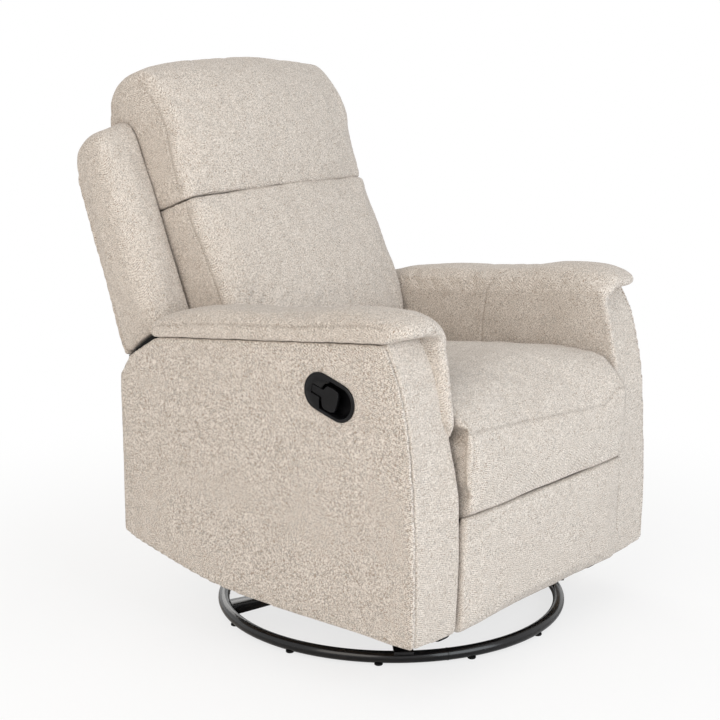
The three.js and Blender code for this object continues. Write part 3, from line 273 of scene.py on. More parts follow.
def closed(*lines):  # one loop from lines that follow one another
    loop = np.vstack(lines)
    keep = np.linalg.norm(loop - np.roll(loop, 1, axis=0), axis=1) > 0.05
    return loop[keep]


def drawnIn(loop, distance):  # the loop moved inward by a distance, or by one for each point
    ahead = np.roll(loop, -1, axis=0) - np.roll(loop, 1, axis=0)
    out = np.stack([ahead[:, 1], -ahead[:, 0]], axis=1)
    out /= np.linalg.norm(out, axis=1)[:, None] + 1e-9
    area = np.sum(loop[:, 0] * np.roll(loop[:, 1], -1) - loop[:, 1] * np.roll(loop[:, 0], -1))
    return loop - out * np.reshape(distance, (-1, 1)) * (1 if area > 0 else -1)


def loft(bm, rings):
    loops = []
    for ring in rings:
        corners = [bm.verts.new(p) for p in ring]
        loops.append([bm.edges.new(pair) for pair in zip(corners, corners[1:] + corners[:1])])
    for near, far in zip(loops, loops[1:]):
        bmesh.ops.bridge_loops(bm, edges=near + far)
    for end in (loops[0], loops[-1]):
        bmesh.ops.edgeloop_fill(bm, edges=end)


def shaded(made):  # smooth shading on every face
    made.data.polygons.foreach_set("use_smooth", [True] * len(made.data.polygons))


def filled(name, bm):  # a mesh with what the bmesh holds
    mesh = bpy.data.meshes.new(name)
    bm.to_mesh(mesh)
    bm.free()
    return mesh


def piece(name, form, slot, body, *replaced):  # from a bmesh, or from one list of rings after another
    bm = form
    if isinstance(form, (list, tuple)):
        bm = bmesh.new()
        for rings in form:
            loft(bm, rings)
    bmesh.ops.recalc_face_normals(bm, faces=bm.faces[:])
    mesh = filled(name, bm)
    mesh.materials.append(finishes[slot])
    made = shown(name, mesh)
    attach(made, body)
    if replaced:
        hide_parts(*replaced)
    return made


def applied(made):  # bakes the modifiers into the mesh
    bpy.context.view_layer.update()
    result = bpy.data.meshes.new_from_object(made.evaluated_get(bpy.context.evaluated_depsgraph_get()))
    old = made.data
    made.modifiers.clear()
    made.data = result
    bpy.data.meshes.remove(old)
    result.name = made.name


def upright(x, line):  # a ring from places along Y and up, at one X
    return [spot(x, y, z) for y, z in line]


def places(made, kind="co"):
    values = np.zeros(len(made.data.vertices) * 3)
    made.data.vertices.foreach_get(kind, values)
    return values.reshape(-1, 3)


def directions(made):
    return places(made, "normal")


def measured(co):  # the points' Y and Z as the sizes are written, in millimetres
    return co[:, 1] * 1000 + axisAhead, co[:, 2] * 1000


def moved(made, co):
    made.data.vertices.foreach_set("co", np.ascontiguousarray(co).ravel())
    made.data.update()


def placed(bm, turn, place):
    bmesh.ops.rotate(bm, cent=(0, 0, 0), matrix=turn, verts=bm.verts[:])
    bmesh.ops.translate(bm, vec=place, verts=bm.verts[:])


def bevelled(bm, edges, offset, segments):
    bmesh.ops.bevel(bm, geom=edges, offset=offset, offset_type="OFFSET", affect="EDGES", segments=segments,
                    profile=0.5, material=-1, clamp_overlap=True)


def cover(name, form, body, replaced, grain, relax, finish="upholstery"):
    # a padded piece with one even skin of quads, grain mm wide, softened so many times
    made = piece(name, form, "upholstery", body, replaced)
    made.data.materials.clear()
    skin = made.modifiers.new("skin", "REMESH")
    skin.mode, skin.voxel_size, skin.use_smooth_shade = "VOXEL", grain / 1000, True
    soften = made.modifiers.new("soften", "SMOOTH")
    soften.factor, soften.iterations = 0.5, relax
    applied(made)
    made.data.materials.append(finishes[finish])
    return made


def doubled(made):  # one level of subdivision
    finer = made.modifiers.new("finer", "SUBSURF")
    finer.levels = finer.render_levels = 1
    applied(made)
    shaded(made)


stuffed = []  # pieces that the cloth simulation fills out
fillFrames = 18


def stuff(made, held, most, pressure, slack):  # held by some of its points, and moved by so many mm at most
    stuffed.append((made, held, most / 1000, pressure, slack))
    return made


def fillOut():
    for made, held, most, pressure, slack in stuffed:
        group = made.vertex_groups.new(name="held")
        group.add([int(i) for i in np.nonzero(held(places(made), directions(made)))[0]], 1.0, "REPLACE")
        cloth = made.modifiers.new("cloth", "CLOTH")
        stuffing = cloth.settings
        stuffing.use_pressure = True
        stuffing.uniform_pressure_force = pressure
        stuffing.vertex_group_mass = "held"
        stuffing.effector_weights.gravity = 0
        stuffing.quality = 4
        stuffing.tension_stiffness = stuffing.compression_stiffness = 25
        stuffing.bending_stiffness = 2
        stuffing.shrink_min = -slack
        cloth.collision_settings.use_collision = False
        cloth.point_cache.frame_end = fillFrames
    for now in range(1, fillFrames + 1):
        scene.frame_set(now)
    for made, held, most, pressure, slack in stuffed:
        before = places(made)
        applied(made)
        shift = places(made) - before
        far = np.linalg.norm(shift, axis=1)[:, None]
        moved(made, before + shift * np.minimum(1, most / np.maximum(far, 1e-9)))
        made.vertex_groups.clear()
    scene.frame_set(1)


def away(co, line):  # how far each point is from a line of points
    best = np.full(len(co), 1e9)
    for a, b in zip(line[:-1], line[1:]):
        run = b - a
        share = np.clip(((co - a) @ run) / max(run @ run, 1e-12), 0, 1)
        best = np.minimum(best, np.linalg.norm(co - a - share[:, None] * run, axis=1))
    return best


def sew(made, distances, depth, width, puff):
    # sinks the skin along seams, each given as a distance in metres for every point, and marks them for the
    # painted shade that darkens the cloth along the seams
    co, out = places(made), directions(made)
    mark = np.zeros(len(co))
    for distance in distances:
        near = np.exp(-(distance * 1000 / width) ** 2)
        beside = np.exp(-((distance * 1000 - 3.2 * width) / (1.6 * width)) ** 2)
        co = co - out * (near * depth - beside * puff)[:, None] / 1000
        mark = np.maximum(mark, near)
    moved(made, co)
    seam = made.data.attributes.get("seam") or made.data.attributes.new("seam", "FLOAT", "POINT")
    seam.data.foreach_set("value", mark.astype(np.float32))


def crumpled(made, height, scale, stretch, seed, mask=None):  # an unevenness, its height in millimetres
    co, out = places(made), directions(made)
    size = [scale * s for s in stretch]
    lift = np.array([noise.noise(Vector((p[0] * size[0] + seed, p[1] * size[1], p[2] * size[2]))) for p in co])
    lift *= height / 1000
    if mask is not None:
        lift *= mask(co, out)
    moved(made, co + out * lift[:, None])


# base
ring = {"radius": 315, "tube": 21, "underside": 4, "weldTurn": 236, "armWidth": 34, "armThick": 5}
cross = {
    "frontRun": 333, "frontSeat": 34, "frontTurn": 48, "rearTurn": 55, "rearDepth": 20, "hubRun": 112,
    "hubHigh": 46, "disc": 98, "discThick": 4, "race": 81, "raceInner": 67, "raceHigh": 3, "rivet": 13.3}


def turns(count):  # angles round a circle
    return [2 * math.pi * i / count for i in range(count)]


def turnedRing(bm, section, steps):  # a section (radius, height) spun round the swivel axis
    corners = [bm.verts.new(spot(r, 0, z)) for r, z in section]
    edges = [bm.edges.new(pair) for pair in zip(corners, corners[1:] + corners[:1])]
    bmesh.ops.spin(bm, geom=corners + edges, cent=spot(0, 0, 0), axis=(0, 0, 1), angle=2 * math.pi,
                   steps=steps, use_merge=True)


def buildBase():
    bm = bmesh.new()
    tube, middle = ring["tube"] / 2, ring["underside"] + ring["tube"] / 2
    turnedRing(bm, [(ring["radius"] + tube * math.cos(t), middle + tube * math.sin(t)) for t in turns(28)], 160)
    hub, high, thick = cross["hubRun"], cross["hubHigh"], ring["armThick"]
    under, top = high - thick, ring["underside"] + ring["tube"]
    rearRun, far = ring["radius"] - tube + 3, cross["frontRun"]
    near = far - cross["frontSeat"]
    front = [(0, under), (hub, under), (near, top - 0.5), (far, top - 0.5), (far, top + thick),
             (near, top + thick), (hub, high), (0, high)]
    rear = [(0, under), (hub, under), (rearRun, top - cross["rearDepth"]), (rearRun, top), (hub, high),
            (0, high)]
    for outline, ahead in ((front, -90 - cross["frontTurn"]), (front, -90 + cross["frontTurn"]),
                           (rear, 90 - cross["rearTurn"]), (rear, 90 + cross["rearTurn"])):
        arm = bmesh.new()
        half = ring["armWidth"] / 2000
        loft(arm, [[Vector((run, 0, z)) / 1000 + Vector((0, y, 0)) for run, z in outline]
                   for y in (-half, half)])
        bmesh.ops.recalc_face_normals(arm, faces=arm.faces[:])
        bevelled(arm, arm.edges[:], 0.0012, 2)
        placed(arm, Matrix.Rotation(math.radians(ahead), 3, "Z"), spot(0, 0, 0))
        bm.from_mesh(filled("arm", arm))
    rivet, disc, race, inner = cross["rivet"], cross["disc"], cross["race"], cross["raceInner"]
    plate = high + cross["discThick"]
    rim = plate + cross["raceHigh"]
    turnedRing(bm, [(rivet, under), (disc, under), (disc + 1, under + 2), (disc, plate), (race, plate),
                    (race - 1, rim), (inner, rim), (inner - 1, plate), (rivet, plate)], 72)
    made = piece("base_ring_and_cross", bm, "black_steel", "base", "base_frame")
    edges = made.modifiers.new("smooth", "EDGE_SPLIT")
    edges.split_angle = math.radians(35)
    shaded(made)
    applied(made)


def buildWeld():  # the bead where the ring's tube is closed
    turn = math.radians(ring["weldTurn"])
    out = Vector((math.cos(turn), math.sin(turn), 0))
    along = Vector((-math.sin(turn), math.cos(turn), 0))
    middle = spot(0, 0, ring["underside"] + ring["tube"] / 2) + out * ring["radius"] / 1000
    rings = []
    for share in (-1, -0.6, 0, 0.6, 1):
        grown = (ring["tube"] / 2 + 0.9 * math.sqrt(max(0, 1 - share * share)) - 0.25) / 1000
        rings.append([middle + along * share * 0.0026
                      + (out * math.cos(t) + Vector((0, 0, 1)) * math.sin(t))
                      * grown * (1 + 0.012 * math.sin(9 * t + 3 * share))
                      for t in turns(40)])
    doubled(piece("ring_weld", [rings], "black_steel", "base"))


# seat cushion
crownShares = (0, 0.18, 0.36, 0.52, 0.66, 0.78, 0.87)  # of a half width, where a cushion has a ring
seat = {
    "halfWidth": 245.5, "edge": 10, "notchAcross": 236.5, "notchHigh": 340,
    "middle": [(205, 429), (170, 452), (128, 465), (60, 473), (0, 480), (-100, 489), (-200, 495), (-262, 492),
        (-305, 479), (-332, 454), (-346, 419), (-351, 374), (-352, 330), (-352.5, 306), (-353.5, 297),
        (-351, 292.5), (-345, 291.5)],
    "side": [(205, 422), (170, 436), (128, 446), (60, 453), (0, 460), (-100, 470), (-200, 479), (-262, 480),
        (-303, 474), (-330, 453), (-351, 431), (-355, 405), (-353, 374), (-351, 330), (-350.5, 306),
        (-351.5, 297), (-349, 292.5), (-344, 291.5)],
    "recessAlong": [(-345, 0), (-338, 1), (-300, 1), (-280, 0)],
    "recessUp": [(300, 0), (330, 5), (405, 6), (420, 18), (431, 14), (441, 0)],
    "under": [(-338, 290.5), (-332, 281), (-300, 279), (-293, 288), (-292, 362), (205, 362)],
    "seamHigh": 414, "seamFall": 0.07}


def buildSeat():
    steps = 76
    middle, side = smooth(seat["middle"], steps), smooth(seat["side"], steps)
    under = even(seat["under"], 50)
    rings = []
    half, edge = seat["halfWidth"], seat["edge"]
    stations = [half * s for s in crownShares] + turnedEdge(half, edge, (0, 22, 45, 62, 76, 90))
    for x in mirrored(sorted(stations + [seat["notchAcross"], seat["notchAcross"] + 0.8])):
        share = min(1, (abs(x) / half)) ** 2.3
        loop = drawnIn(closed(middle + (side - middle) * share, under), edge * rolledIn(x, half, edge) * 0.8)
        if abs(x) > seat["notchAcross"] + 0.4:
            skirt = (loop[:, 0] < -283) & (loop[:, 1] < seat["notchHigh"])
            loop[skirt, 1] = seat["notchHigh"]
            loop[skirt, 0] = np.maximum(loop[skirt, 0], -349)
        rings.append(upright(x, loop))
    made = cover("seat_cushion_cover", [rings], "carriage", "seat_cushion", grain=5.9, relax=3)

    def held(co, out):  # by its underside, its sides and its rear
        y, z = measured(co)
        return (z < 366) & (y > -335) | (z < 302) | (np.abs(co[:, 0]) > (half - 5) / 1000) | (y > 190)
    return stuff(made, held, most=12, pressure=2.5, slack=0.004)


def finishSeat(made):
    doubled(made)
    co = places(made)
    y, z = measured(co)
    front = np.clip((-318 - y) / 14, 0, 1)
    rise = 0.025 * np.clip((co[:, 0] - 0.165) / 0.045, 0, 1)
    level = np.abs(co[:, 2] - seat["seamHigh"] / 1000 + seat["seamFall"] * co[:, 0] - rise)
    sideSeam = np.abs(np.abs(co[:, 0]) - seat["notchAcross"] / 1000) + (z < 368) * 1.0
    sew(made, [level + (1 - front) * 0.05, sideSeam], depth=0.8, width=2.2, puff=0.3)
    crumpled(made, 2.6, 9, (0.8, 1.5, 1.5), 3.1)
    crumpled(made, 1.1, 30, (0.5, 1.4, 1.0), 8.4)
    co = places(made)  # the sides draw in behind the front corners
    y, z = measured(co)
    recess = np.interp(y, *zip(*seat["recessAlong"])) * np.interp(z, *zip(*seat["recessUp"]))
    co[:, 0] -= np.sign(co[:, 0]) * recess * np.clip((np.abs(co[:, 0]) - 0.225) / 0.012, 0, 1) / 1000
    moved(made, co)


# backrest cushions, drawn in the leaning frame
backPad = {
    "halfWidth": 242, "turn": 15, "turnDeep": 27, "rear": 58, "low": 122, "high": 445, "besidePosts": 238.6,
    "rearLine": [(58, 445), (58, 122)], "wave": (3.0, 8, (1, 1, 1.3), 5.5), "tuckHigh": 440,
    "seeds": (1.7, 9.9),
    "middle": [(-105, 122), (-140, 135), (-157, 165), (-166, 205), (-168, 250), (-165, 295), (-156, 350),
        (-150, 387), (-147, 415), (-145, 434), (-143, 444), (-132, 446.8), (-97, 446)],
    "side": [(-85, 123), (-120, 135), (-138, 165), (-146, 205), (-148, 256), (-141, 320), (-137, 351),
        (-131, 385), (-127, 415), (-126, 434), (-124, 444), (-114, 446.8), (-90, 446)]}
headPad = {
    "halfWidth": 244, "turn": 15, "turnDeep": 27, "rear": 58, "shelf": 595, "besidePosts": 244,
    "rearLine": [(66, 595), (58, 595), (58, 447.4)], "wave": (3.2, 8, (1, 1, 1.2), 2.2), "tuckHigh": 452,
    "seeds": (4.1, 6.3),
    "middle": [(-97, 446.2), (-132, 445.6), (-142, 448), (-143, 458), (-143, 490), (-145, 520), (-148, 545),
        (-152, 572), (-150, 603), (-142, 637), (-125, 672), (-101, 705), (-70, 722), (-35, 720), (2, 701),
        (37, 668), (61, 628), (65, 600)],
    "side": [(-84, 446.2), (-110, 445.6), (-120, 448), (-121, 458), (-122, 482), (-123, 510), (-126, 543),
        (-131, 572), (-128, 605), (-119, 635), (-106, 666), (-93, 686), (-76, 697), (-47, 699), (-14, 693),
        (13, 673), (27, 648), (38, 620), (42, 600)]}


def leaning(co):  # depth and height on the backrest, in millimetres
    c, s = math.cos(hinge["lean"]), math.sin(hinge["lean"])
    y = co[:, 1] * 1000 + axisAhead - hinge["rear"]
    z = co[:, 2] * 1000 - hinge["height"]
    return y * c - z * s, y * s + z * c


def across(pad, fall, power=2.0):
    # rings of a cushion that crowns forward in the middle and turns back at its sides
    middle, side, rear = smooth(pad["middle"], 70), smooth(pad["side"], 70), even(pad["rearLine"], 36)
    half, edge = pad["halfWidth"], pad["turn"]
    stations = [half * s for s in crownShares] + turnedEdge(half, edge, (0, 15, 30, 45, 58, 70, 80, 90))
    rings = []
    for x in mirrored(stations):
        share = min(1, abs(x) / (half - edge)) ** power
        loop = closed(middle + (side - middle) * share, rear)
        narrow = min(1, pad["besidePosts"] / max(abs(x), 1))
        rings.append([leaned(x * (1 + (narrow - 1) * min(1, max(0, (d - 2) / 10))), d, h)
                      for d, h in fall(loop, rolledIn(x, half, edge))])
    return rings


def flankLine(pad, side):  # the seam on a cushion's flank, behind its rounded front edge
    front = smooth(pad["side"], 60)
    inner = drawnIn(closed(front, even(pad["rearLine"], 36)), pad["turnDeep"])[2:len(front) - 2]
    return np.array([leaned(side * pad["halfWidth"], d, h) for d, h in inner])


def finishBackPad(made, pad):
    doubled(made)
    sew(made, [away(places(made), flankLine(pad, side)) for side in sides], depth=1.3, width=2.0, puff=0.6)
    crumpled(made, *pad["wave"])
    tuck = lambda co, out: np.exp(-((leaning(co)[1] - pad["tuckHigh"]) / 42) ** 2)
    crumpled(made, 2.2, 22, (1.0, 0.6, 0.6), pad["seeds"][0], tuck)
    crumpled(made, 0.9, 40, (1, 1, 0.5), pad["seeds"][1])


def buildBackCushion():
    def fall(loop, give):
        out = loop.copy()
        out[:, 0] += give * backPad["turnDeep"] * np.clip((backPad["rear"] - loop[:, 0]) / 130, 0, 1)
        middle = (backPad["low"] + backPad["high"]) / 2
        out[:, 1] += np.maximum(0, middle - loop[:, 1]) / (backPad["high"] - middle) * give * 5
        return out
    rings = across(backPad, fall)
    made = cover("back_cushion_cover", [rings], "backrest", "back_cushion", grain=5.5, relax=2)

    def held(co, out):
        depth, height = leaning(co)
        beside = np.abs(co[:, 0]) > (backPad["halfWidth"] - 2.5) / 1000
        return (depth > 10) | (height > 438) | (height < 132) | beside
    return stuff(made, held, most=8, pressure=2.5, slack=0.006)


def buildHeadrest():
    def fall(loop, give):
        out = loop.copy()
        out[:, 0] += give * headPad["turnDeep"] * np.clip((headPad["rear"] - loop[:, 0]) / 130, -0.08, 1)
        out[:, 1] -= give * 21 * np.clip((loop[:, 1] - headPad["shelf"]) / 100, 0, 1)
        return out
    rings = across(headPad, fall, 2.4)
    made = cover("headrest_cover", [rings], "backrest", "headrest_cushion", grain=5.2, relax=2)

    def held(co, out):
        depth, height = leaning(co)
        beside = np.abs(co[:, 0]) > (headPad["halfWidth"] - 2.5) / 1000
        return (depth > 10) & (height < 604) | (height < 454) | beside & (height < 604)
    return stuff(made, held, most=7, pressure=2.5, slack=0.006)


# wings
wing = {
    "inner": 246, "outer": 331, "round": 22,
    "outline": [(-45, 258), (-44, 300), (-42, 345), (-40, 390), (-38, 440), (-36, 500), (-32, 555),
        (-27, 582), (-17, 598), (2, 604), (22, 602), (42, 592), (54, 574), (57.5, 545), (58, 500), (58, 400),
        (58, 300), (57.8, 236), (56.5, 220), (51, 211.5), (43.5, 212.8), (4.5, 224.4), (-28, 230.5),
        (-39, 235), (-45, 246)],
    # cloth and its line: where the black sheet of painted shade below the wing stands
    "topSlope": 0.25, "cloth": (248, 290, 326),
    "shadeSheetLine": [(-24, 218), (12, 211.5), (43, 197), (57, 191), (57, 207), (43.5, 210.5), (4.5, 222.4),
        (-24, 228.5)]}


def buildWing(side):
    outline = looped(wing["outline"], 127, smooth)
    inner, outer, turn = wing["inner"], wing["outer"], wing["round"]
    rings = []
    for x in [inner, inner + 1.5, inner + 5, 275, 292] + turnedEdge(outer, turn, (0, 20, 38, 54, 68, 80, 90)):
        give = turn * rolledIn(x, outer, turn)
        soft = 1.2 * max(0, 1 - (x - inner) / 4) ** 2
        loop = outline.copy()
        loop[:, 1] += wing["topSlope"] * (outer - x) * np.clip((loop[:, 1] - 520) / 70, 0, 1)
        d, h = loop.T
        reach = np.clip((57.5 - d) / 26, 0, 1)  # the rear stays flat on its board
        reach = reach * np.clip((h - 232) / 50, 0.12, 1) * (1 - 0.35 * np.clip((h - 560) / 30, 0, 1))
        rings.append([leaned(side * x, d, h) for d, h in drawnIn(loop, (give * 0.8 + soft) * reach)])
    made = cover(f"back_wing_cover_{sides[side]}", [rings], "backrest", f"back_wing_{sides[side]}", grain=4.5,
                 relax=2)

    def held(co, out):
        depth, height = leaning(co)
        return (depth > 48) | (np.abs(co[:, 0]) < (inner + 8) / 1000) | (height < 236)
    return stuff(made, held, most=5, pressure=2.5, slack=0.004)


def buildGapShadeSheet(side):  # a black sheet of painted shade that darkens the gap below a wing
    rings = [[leaned(side * x, d, h) for d, h in wing["shadeSheetLine"]] for x in wing["cloth"]]
    piece(f"wing_gap_shade_sheet_{sides[side]}", [rings], "rubber", "backrest")


def finishWing(made):
    doubled(made)
    crumpled(made, 2.2, 12, (1, 1, 1.2), 7.7)
    crumpled(made, 0.9, 34, (1, 1, 0.6), 2.9)


# outside back
rearBoard = {
    "half": [(236, 3), (236, 206), (302, 205), (323, 206), (329, 213), (329, 540), (312, 572), (283, 590),
        (243, 594)],
    "section": [(58.6, 1.5), (60.5, 0), (66, 0), (69, 1.5), (70.6, 5)],
    "halfWidth": 329, "high": 594, "bulge": 5.0, "seamAcross": 0.196, "seamHigh": 205}


def buildOutsideBack():
    half = np.array(rearBoard["half"], float)
    loop = looped(np.vstack([half, half[::-1] * (-1, 1)]), 180)
    rings = [[leaned(x, depth, h) for x, h in drawnIn(loop, inset)] for depth, inset in rearBoard["section"]]
    return cover("outside_back_cover", [rings], "backrest", "back_rear_panel", grain=7.5, relax=2)


def finishOutsideBack(made):
    p = rearBoard
    co, out = places(made), directions(made)
    depth, height = leaning(co)
    fromEdge = np.min([p["halfWidth"] - np.abs(co[:, 0] * 1000), p["high"] - height, height], axis=0) / 60
    bulge = np.sin(np.clip(fromEdge, 0, 1) * math.pi / 2) * p["bulge"] * (depth > 66)
    moved(made, co + out * bulge[:, None] / 1000)
    doubled(made)
    co = places(made)
    depth, height = leaning(co)
    rear = (depth < 66) * 1.0
    edge = np.abs(np.abs(co[:, 0]) - p["seamAcross"]) + rear + (height < 206) * 1.0
    sill = np.abs(height - p["seamHigh"]) / 1000 + rear
    sew(made, [edge, sill], depth=1.5, width=2.4, puff=0.5)
    crumpled(made, 2.0, 9, (1, 1, 1.2), 12.0, lambda co, out: leaning(co)[0] > 64)


# arms
arm = {
    "inner": 250, "outer": 358, "frontPanel": 18, "bulge": 5, "flare": 4.2,
    "rear": [(341, 159), (341, 450), (308, 493), (250, 528)], "top": [(237, 531.2), (-266.9, 583)],
    "front": [(-266.9, 583), (-294, 529), (-315.5, 444), (-325, 351), (-329.5, 254), (-331, 195), (-328, 96)],
    "rearWall": [(323, 152), (341, 154), (341, 450), (308, 493), (250, 528), (236, 531), (236, 512),
        (300, 470), (323, 440)],
    "bottom": [(-328, 96), (-205, 94), (-28, 96), (66, 101), (164, 116), (265, 139), (328, 156)],
    "frontProud": [(96, 5), (160, 7), (229, 9), (294, 10.5), (332, 10.5), (369, 6), (393, 1), (420, -3),
        (480, -3)],
    "innerSeam": [(-76, 607), (-58, 592), (-43, 569), (-35, 532), (-29, 499), (-28, 465), (-30, 420)]}


def armTop(y):
    (rearY, rearZ), (frontY, frontZ) = arm["top"]
    return rearZ + (y - rearY) / (frontY - rearY) * (frontZ - rearZ)


def armFront(z):  # how far forward the arm reaches at a height
    ahead, height = zip(*arm["front"][::-1])
    return np.interp(z, height, ahead)


def frontLine(setBack, count):  # the arm's front edge moved back, and cut off at its top
    front = smooth(arm["front"], count) + (setBack, 0)
    front[:, 1] = np.minimum(front[:, 1], armTop(front[:, 0]))
    return front


def armLoop(setBack, corner=10):  # the side outline of an arm, its front moved back
    front = frontLine(setBack, 60)
    bottom = smooth(arm["bottom"], 70)
    bottom = bottom[bottom[:, 0] > front[-1, 0] + corner]
    rear = even([bottom[-1]] + arm["rear"] + [arm["top"][0]], 60)
    top = even([arm["top"][0], tuple(front[0])], 40)
    return closed(front[1:-1], [front[-1] + (corner * 0.3, 0)], bottom, rear[1:], top[1:])


def sideRings(loop, stations, side):
    return [upright(side * x, drawnIn(loop, inset)) for x, inset in stations]


def armCover(kind, forms, side, grain, relax, finish="upholstery"):
    name = sides[side]
    return cover(f"arm_{kind}_cover_{name}", forms, "carriage", f"arm_{kind}_panel_{name}", grain, relax,
                 finish=finish)


def buildOuterPanel(side):
    inside, outside = looped(armLoop(arm["frontPanel"] + 0.6), 420), looped(armLoop(0.6, 2), 420)
    far = arm["outer"]
    rings = sideRings(inside, [(far - 21.5, 1.0), (far - 7, 0.3)], side)
    rings += sideRings(outside, [(far - 6.6, 0.4), (far - 2.2, 0.0), (far - 0.6, 0.8), (far, 2.4)], side)
    return armCover("outer", [rings], side, grain=4.2, relax=1, finish="upholstery_flank")


def finishOuterPanel(made, side):
    co = places(made)
    face = np.clip((side * co[:, 0] - (arm["outer"] - 4) / 1000) / 0.003, 0, 1)
    y, z = measured(co)
    low, rear = arm["bottom"][0][1], arm["rear"][0][0]
    edge = np.min([(y - armFront(z)) / 40, (z - low) / 45, (rear - y) / 45, (armTop(y) - z) / 45], axis=0)
    lift = np.sin(np.clip(edge, 0, 1) * math.pi / 2) * arm["bulge"] * face
    flare = arm["flare"] * np.clip(1 - (y - armFront(z) - 18) / 90, 0, 1)  # wider toward the front edge
    lift += flare * (1 - lift / arm["bulge"]) * np.clip((side * co[:, 0] * 1000 - arm["outer"] + 9) / 2, 0, 1)
    co[:, 0] += side * lift / 1000
    moved(made, co)
    if side < 0:
        cutHandleHole(made)
    outside = lambda co, out: side * co[:, 0] > (arm["outer"] - 3) / 1000
    crumpled(made, 1.8, 7, (1, 1, 1.3), 4.4 * side, outside)
    crumpled(made, 0.5, 30, (1, 1, 1), 1.4 * side, outside)


def buildInnerPanel(side):
    loop = looped(armLoop(arm["frontPanel"] + 0.6), 240)
    near = arm["inner"]
    skin = sideRings(loop, [(near, 4), (near + 1.4, 1.4), (near + 4.5, 0.2), (near + 21.5, 0)], side)
    rear = sideRings(np.array(arm["rearWall"], float), [(near + 12, 0), (arm["outer"] - 22.8, 0)], side)
    return armCover("inner", [skin, rear], side, grain=7.2, relax=2)


def finishInnerPanel(made, side):
    doubled(made)
    inside = lambda co, out: side * co[:, 0] < (arm["inner"] + 12) / 1000
    crumpled(made, 1.0, 9, (1, 1, 1.3), 3.3 * side, inside)


def buildFrontPanel(side):
    front, rear = frontLine(0, 90), frontLine(0, 90)[::-1] + (arm["frontPanel"], 0)
    rear[:, 1] = np.minimum(rear[:, 1], armTop(rear[:, 0]))
    loop = closed(front, rear)
    near, far = arm["inner"], arm["outer"]
    turn = [(0, 5), (0.10, 3.1), (0.35, 1.2), (0.7, 0.3), (1, 0)]
    stations = [(near + 0.4 + 6 * s, inset) for s, inset in turn]
    stations += [(near + 30, -0.8), (near + 54, -1.4), (far - 34, -1.2)]
    stations += [(far - 6.9 + arm["flare"] - 4 * s, inset * 0.7 - 0.5) for s, inset in turn[::-1]]
    rings = []
    for x, inset in stations:
        proud = np.interp(loop[:, 1], *zip(*arm["frontProud"])) * max(0, (far - x) / (far - near)) ** 1.6
        give = np.where(np.arange(len(loop)) < len(front), inset - proud, 0)
        rings.append(upright(side * x, drawnIn(loop, give)))
    return armCover("front", [rings], side, grain=3.6, relax=1)


def finishFrontPanel(made, side):
    crumpled(made, 1.2, 12, (1, 1, 1), 6.6 * side, lambda co, out: measured(co)[0] < -300)


# arm pads
pad = {
    "inner": 240.5, "outer": 363.5, "crown": 5, "edge": 15, "noseTurn": 50, "noseBack": 44, "seamBelow": 15,
    "baseAlong": (-276, 250), "boxingFrom": 345,
    "top": [(262, 546), (257, 558), (240, 566), (216, 571), (148, 581), (91, 588), (-6, 596), (-99, 606),
        (-188, 620), (-250, 625), (-284, 621), (-302, 613), (-309, 603), (-306, 594.5), (-296, 591)],
    "inside": [(262, 545), (257, 554), (240, 560), (216, 565), (148, 575), (91, 582), (-6, 590), (-99, 598),
        (-188, 605), (-242, 604), (-270, 599), (-289, 591), (-300, 578), (-304, 565), (-296, 556)],
    "strip": [(-280, 600), (-300, 580), (-308, 553), (-315, 519), (-321, 485), (-326, 462), (-327, 443),
        (-324, 430), (-318, 417)],
    "stripOuter": 268,
    "seatFall": [(-30, 249.3), (0, 247.5), (60, 243.6), (110, 241.6)]}


def padBase(y):
    return armTop(y) + 0.8


def seatSide(y):  # the height of the seat's side edge
    ahead, height = zip(*sorted(seat["side"][:9]))
    return np.interp(y, ahead, height)


def insideX(y, z):  # the pad's cloth leaves room for the seat lower down
    return np.interp(z - seatSide(y), *zip(*pad["seatFall"]))


def padRings(side):
    top, inside = smooth(pad["top"], 84), smooth(pad["inside"], 84)
    base = [(y, padBase(y)) for y in np.linspace(*pad["baseAlong"], 50)]
    half, middle, edge = (pad["outer"] - pad["inner"]) / 2, (pad["outer"] + pad["inner"]) / 2, pad["edge"]
    stations = [half * s for s in (0, 0.25, 0.5, 0.68)] + turnedEdge(half, edge, (0, 18, 36, 54, 70, 82, 90))
    rings = []
    for off in mirrored(stations):
        within = np.clip((40 - (half + off)) / 40, 0, 1) ** 1.6
        give = pad["crown"] * (off / half) ** 2 + 0.75 * edge * rolledIn(off, half, edge)
        give *= 1 - 0.8 * within
        line = top + (inside - top) * within
        above = line[:, 1] - padBase(np.maximum(line[:, 0], pad["baseAlong"][0]))
        line[:, 1] -= give * np.clip(above / 30, 0, 1)
        back = pad["noseBack"] * rolledIn(max(off, 0), half, pad["noseTurn"])
        line[:, 0] += back * np.clip((-235 - line[:, 0]) / 60, 0, 1)
        line[:, 0] -= 0.9 * give * np.clip((line[:, 0] - 230) / 32, 0, 1)
        rings.append(upright(side * (middle + off), closed(line, base)))
    return rings


def stripRings(side):  # the strip that turns down the inner front edge and ends in a point
    rings = []
    for y, z in smooth(pad["strip"], 40):
        front = armFront(z)
        proud = front - y
        narrow = np.clip((z - 414) / 34, 0.12, 1)
        near = insideX(-290, z) + (1 - narrow) * 3
        far = near + (pad["stripOuter"] - near) * narrow
        wide = far - near
        section = [(far + 1, front + 4), (far, front - 0.5), (far - wide * 0.14, front - proud * 0.5),
                   (far - wide * 0.36, front - proud * 0.86), (far - wide * 0.64, y),
                   (near + 1.6 * narrow, y + 3.5), (near, y + 12), (near + 0.4, front + 6),
                   (near + 1, front + 16), (far, front + 16)]
        rings.append([spot(side * a, b, z) for a, b in looped(section, 32, smooth)])
    return rings


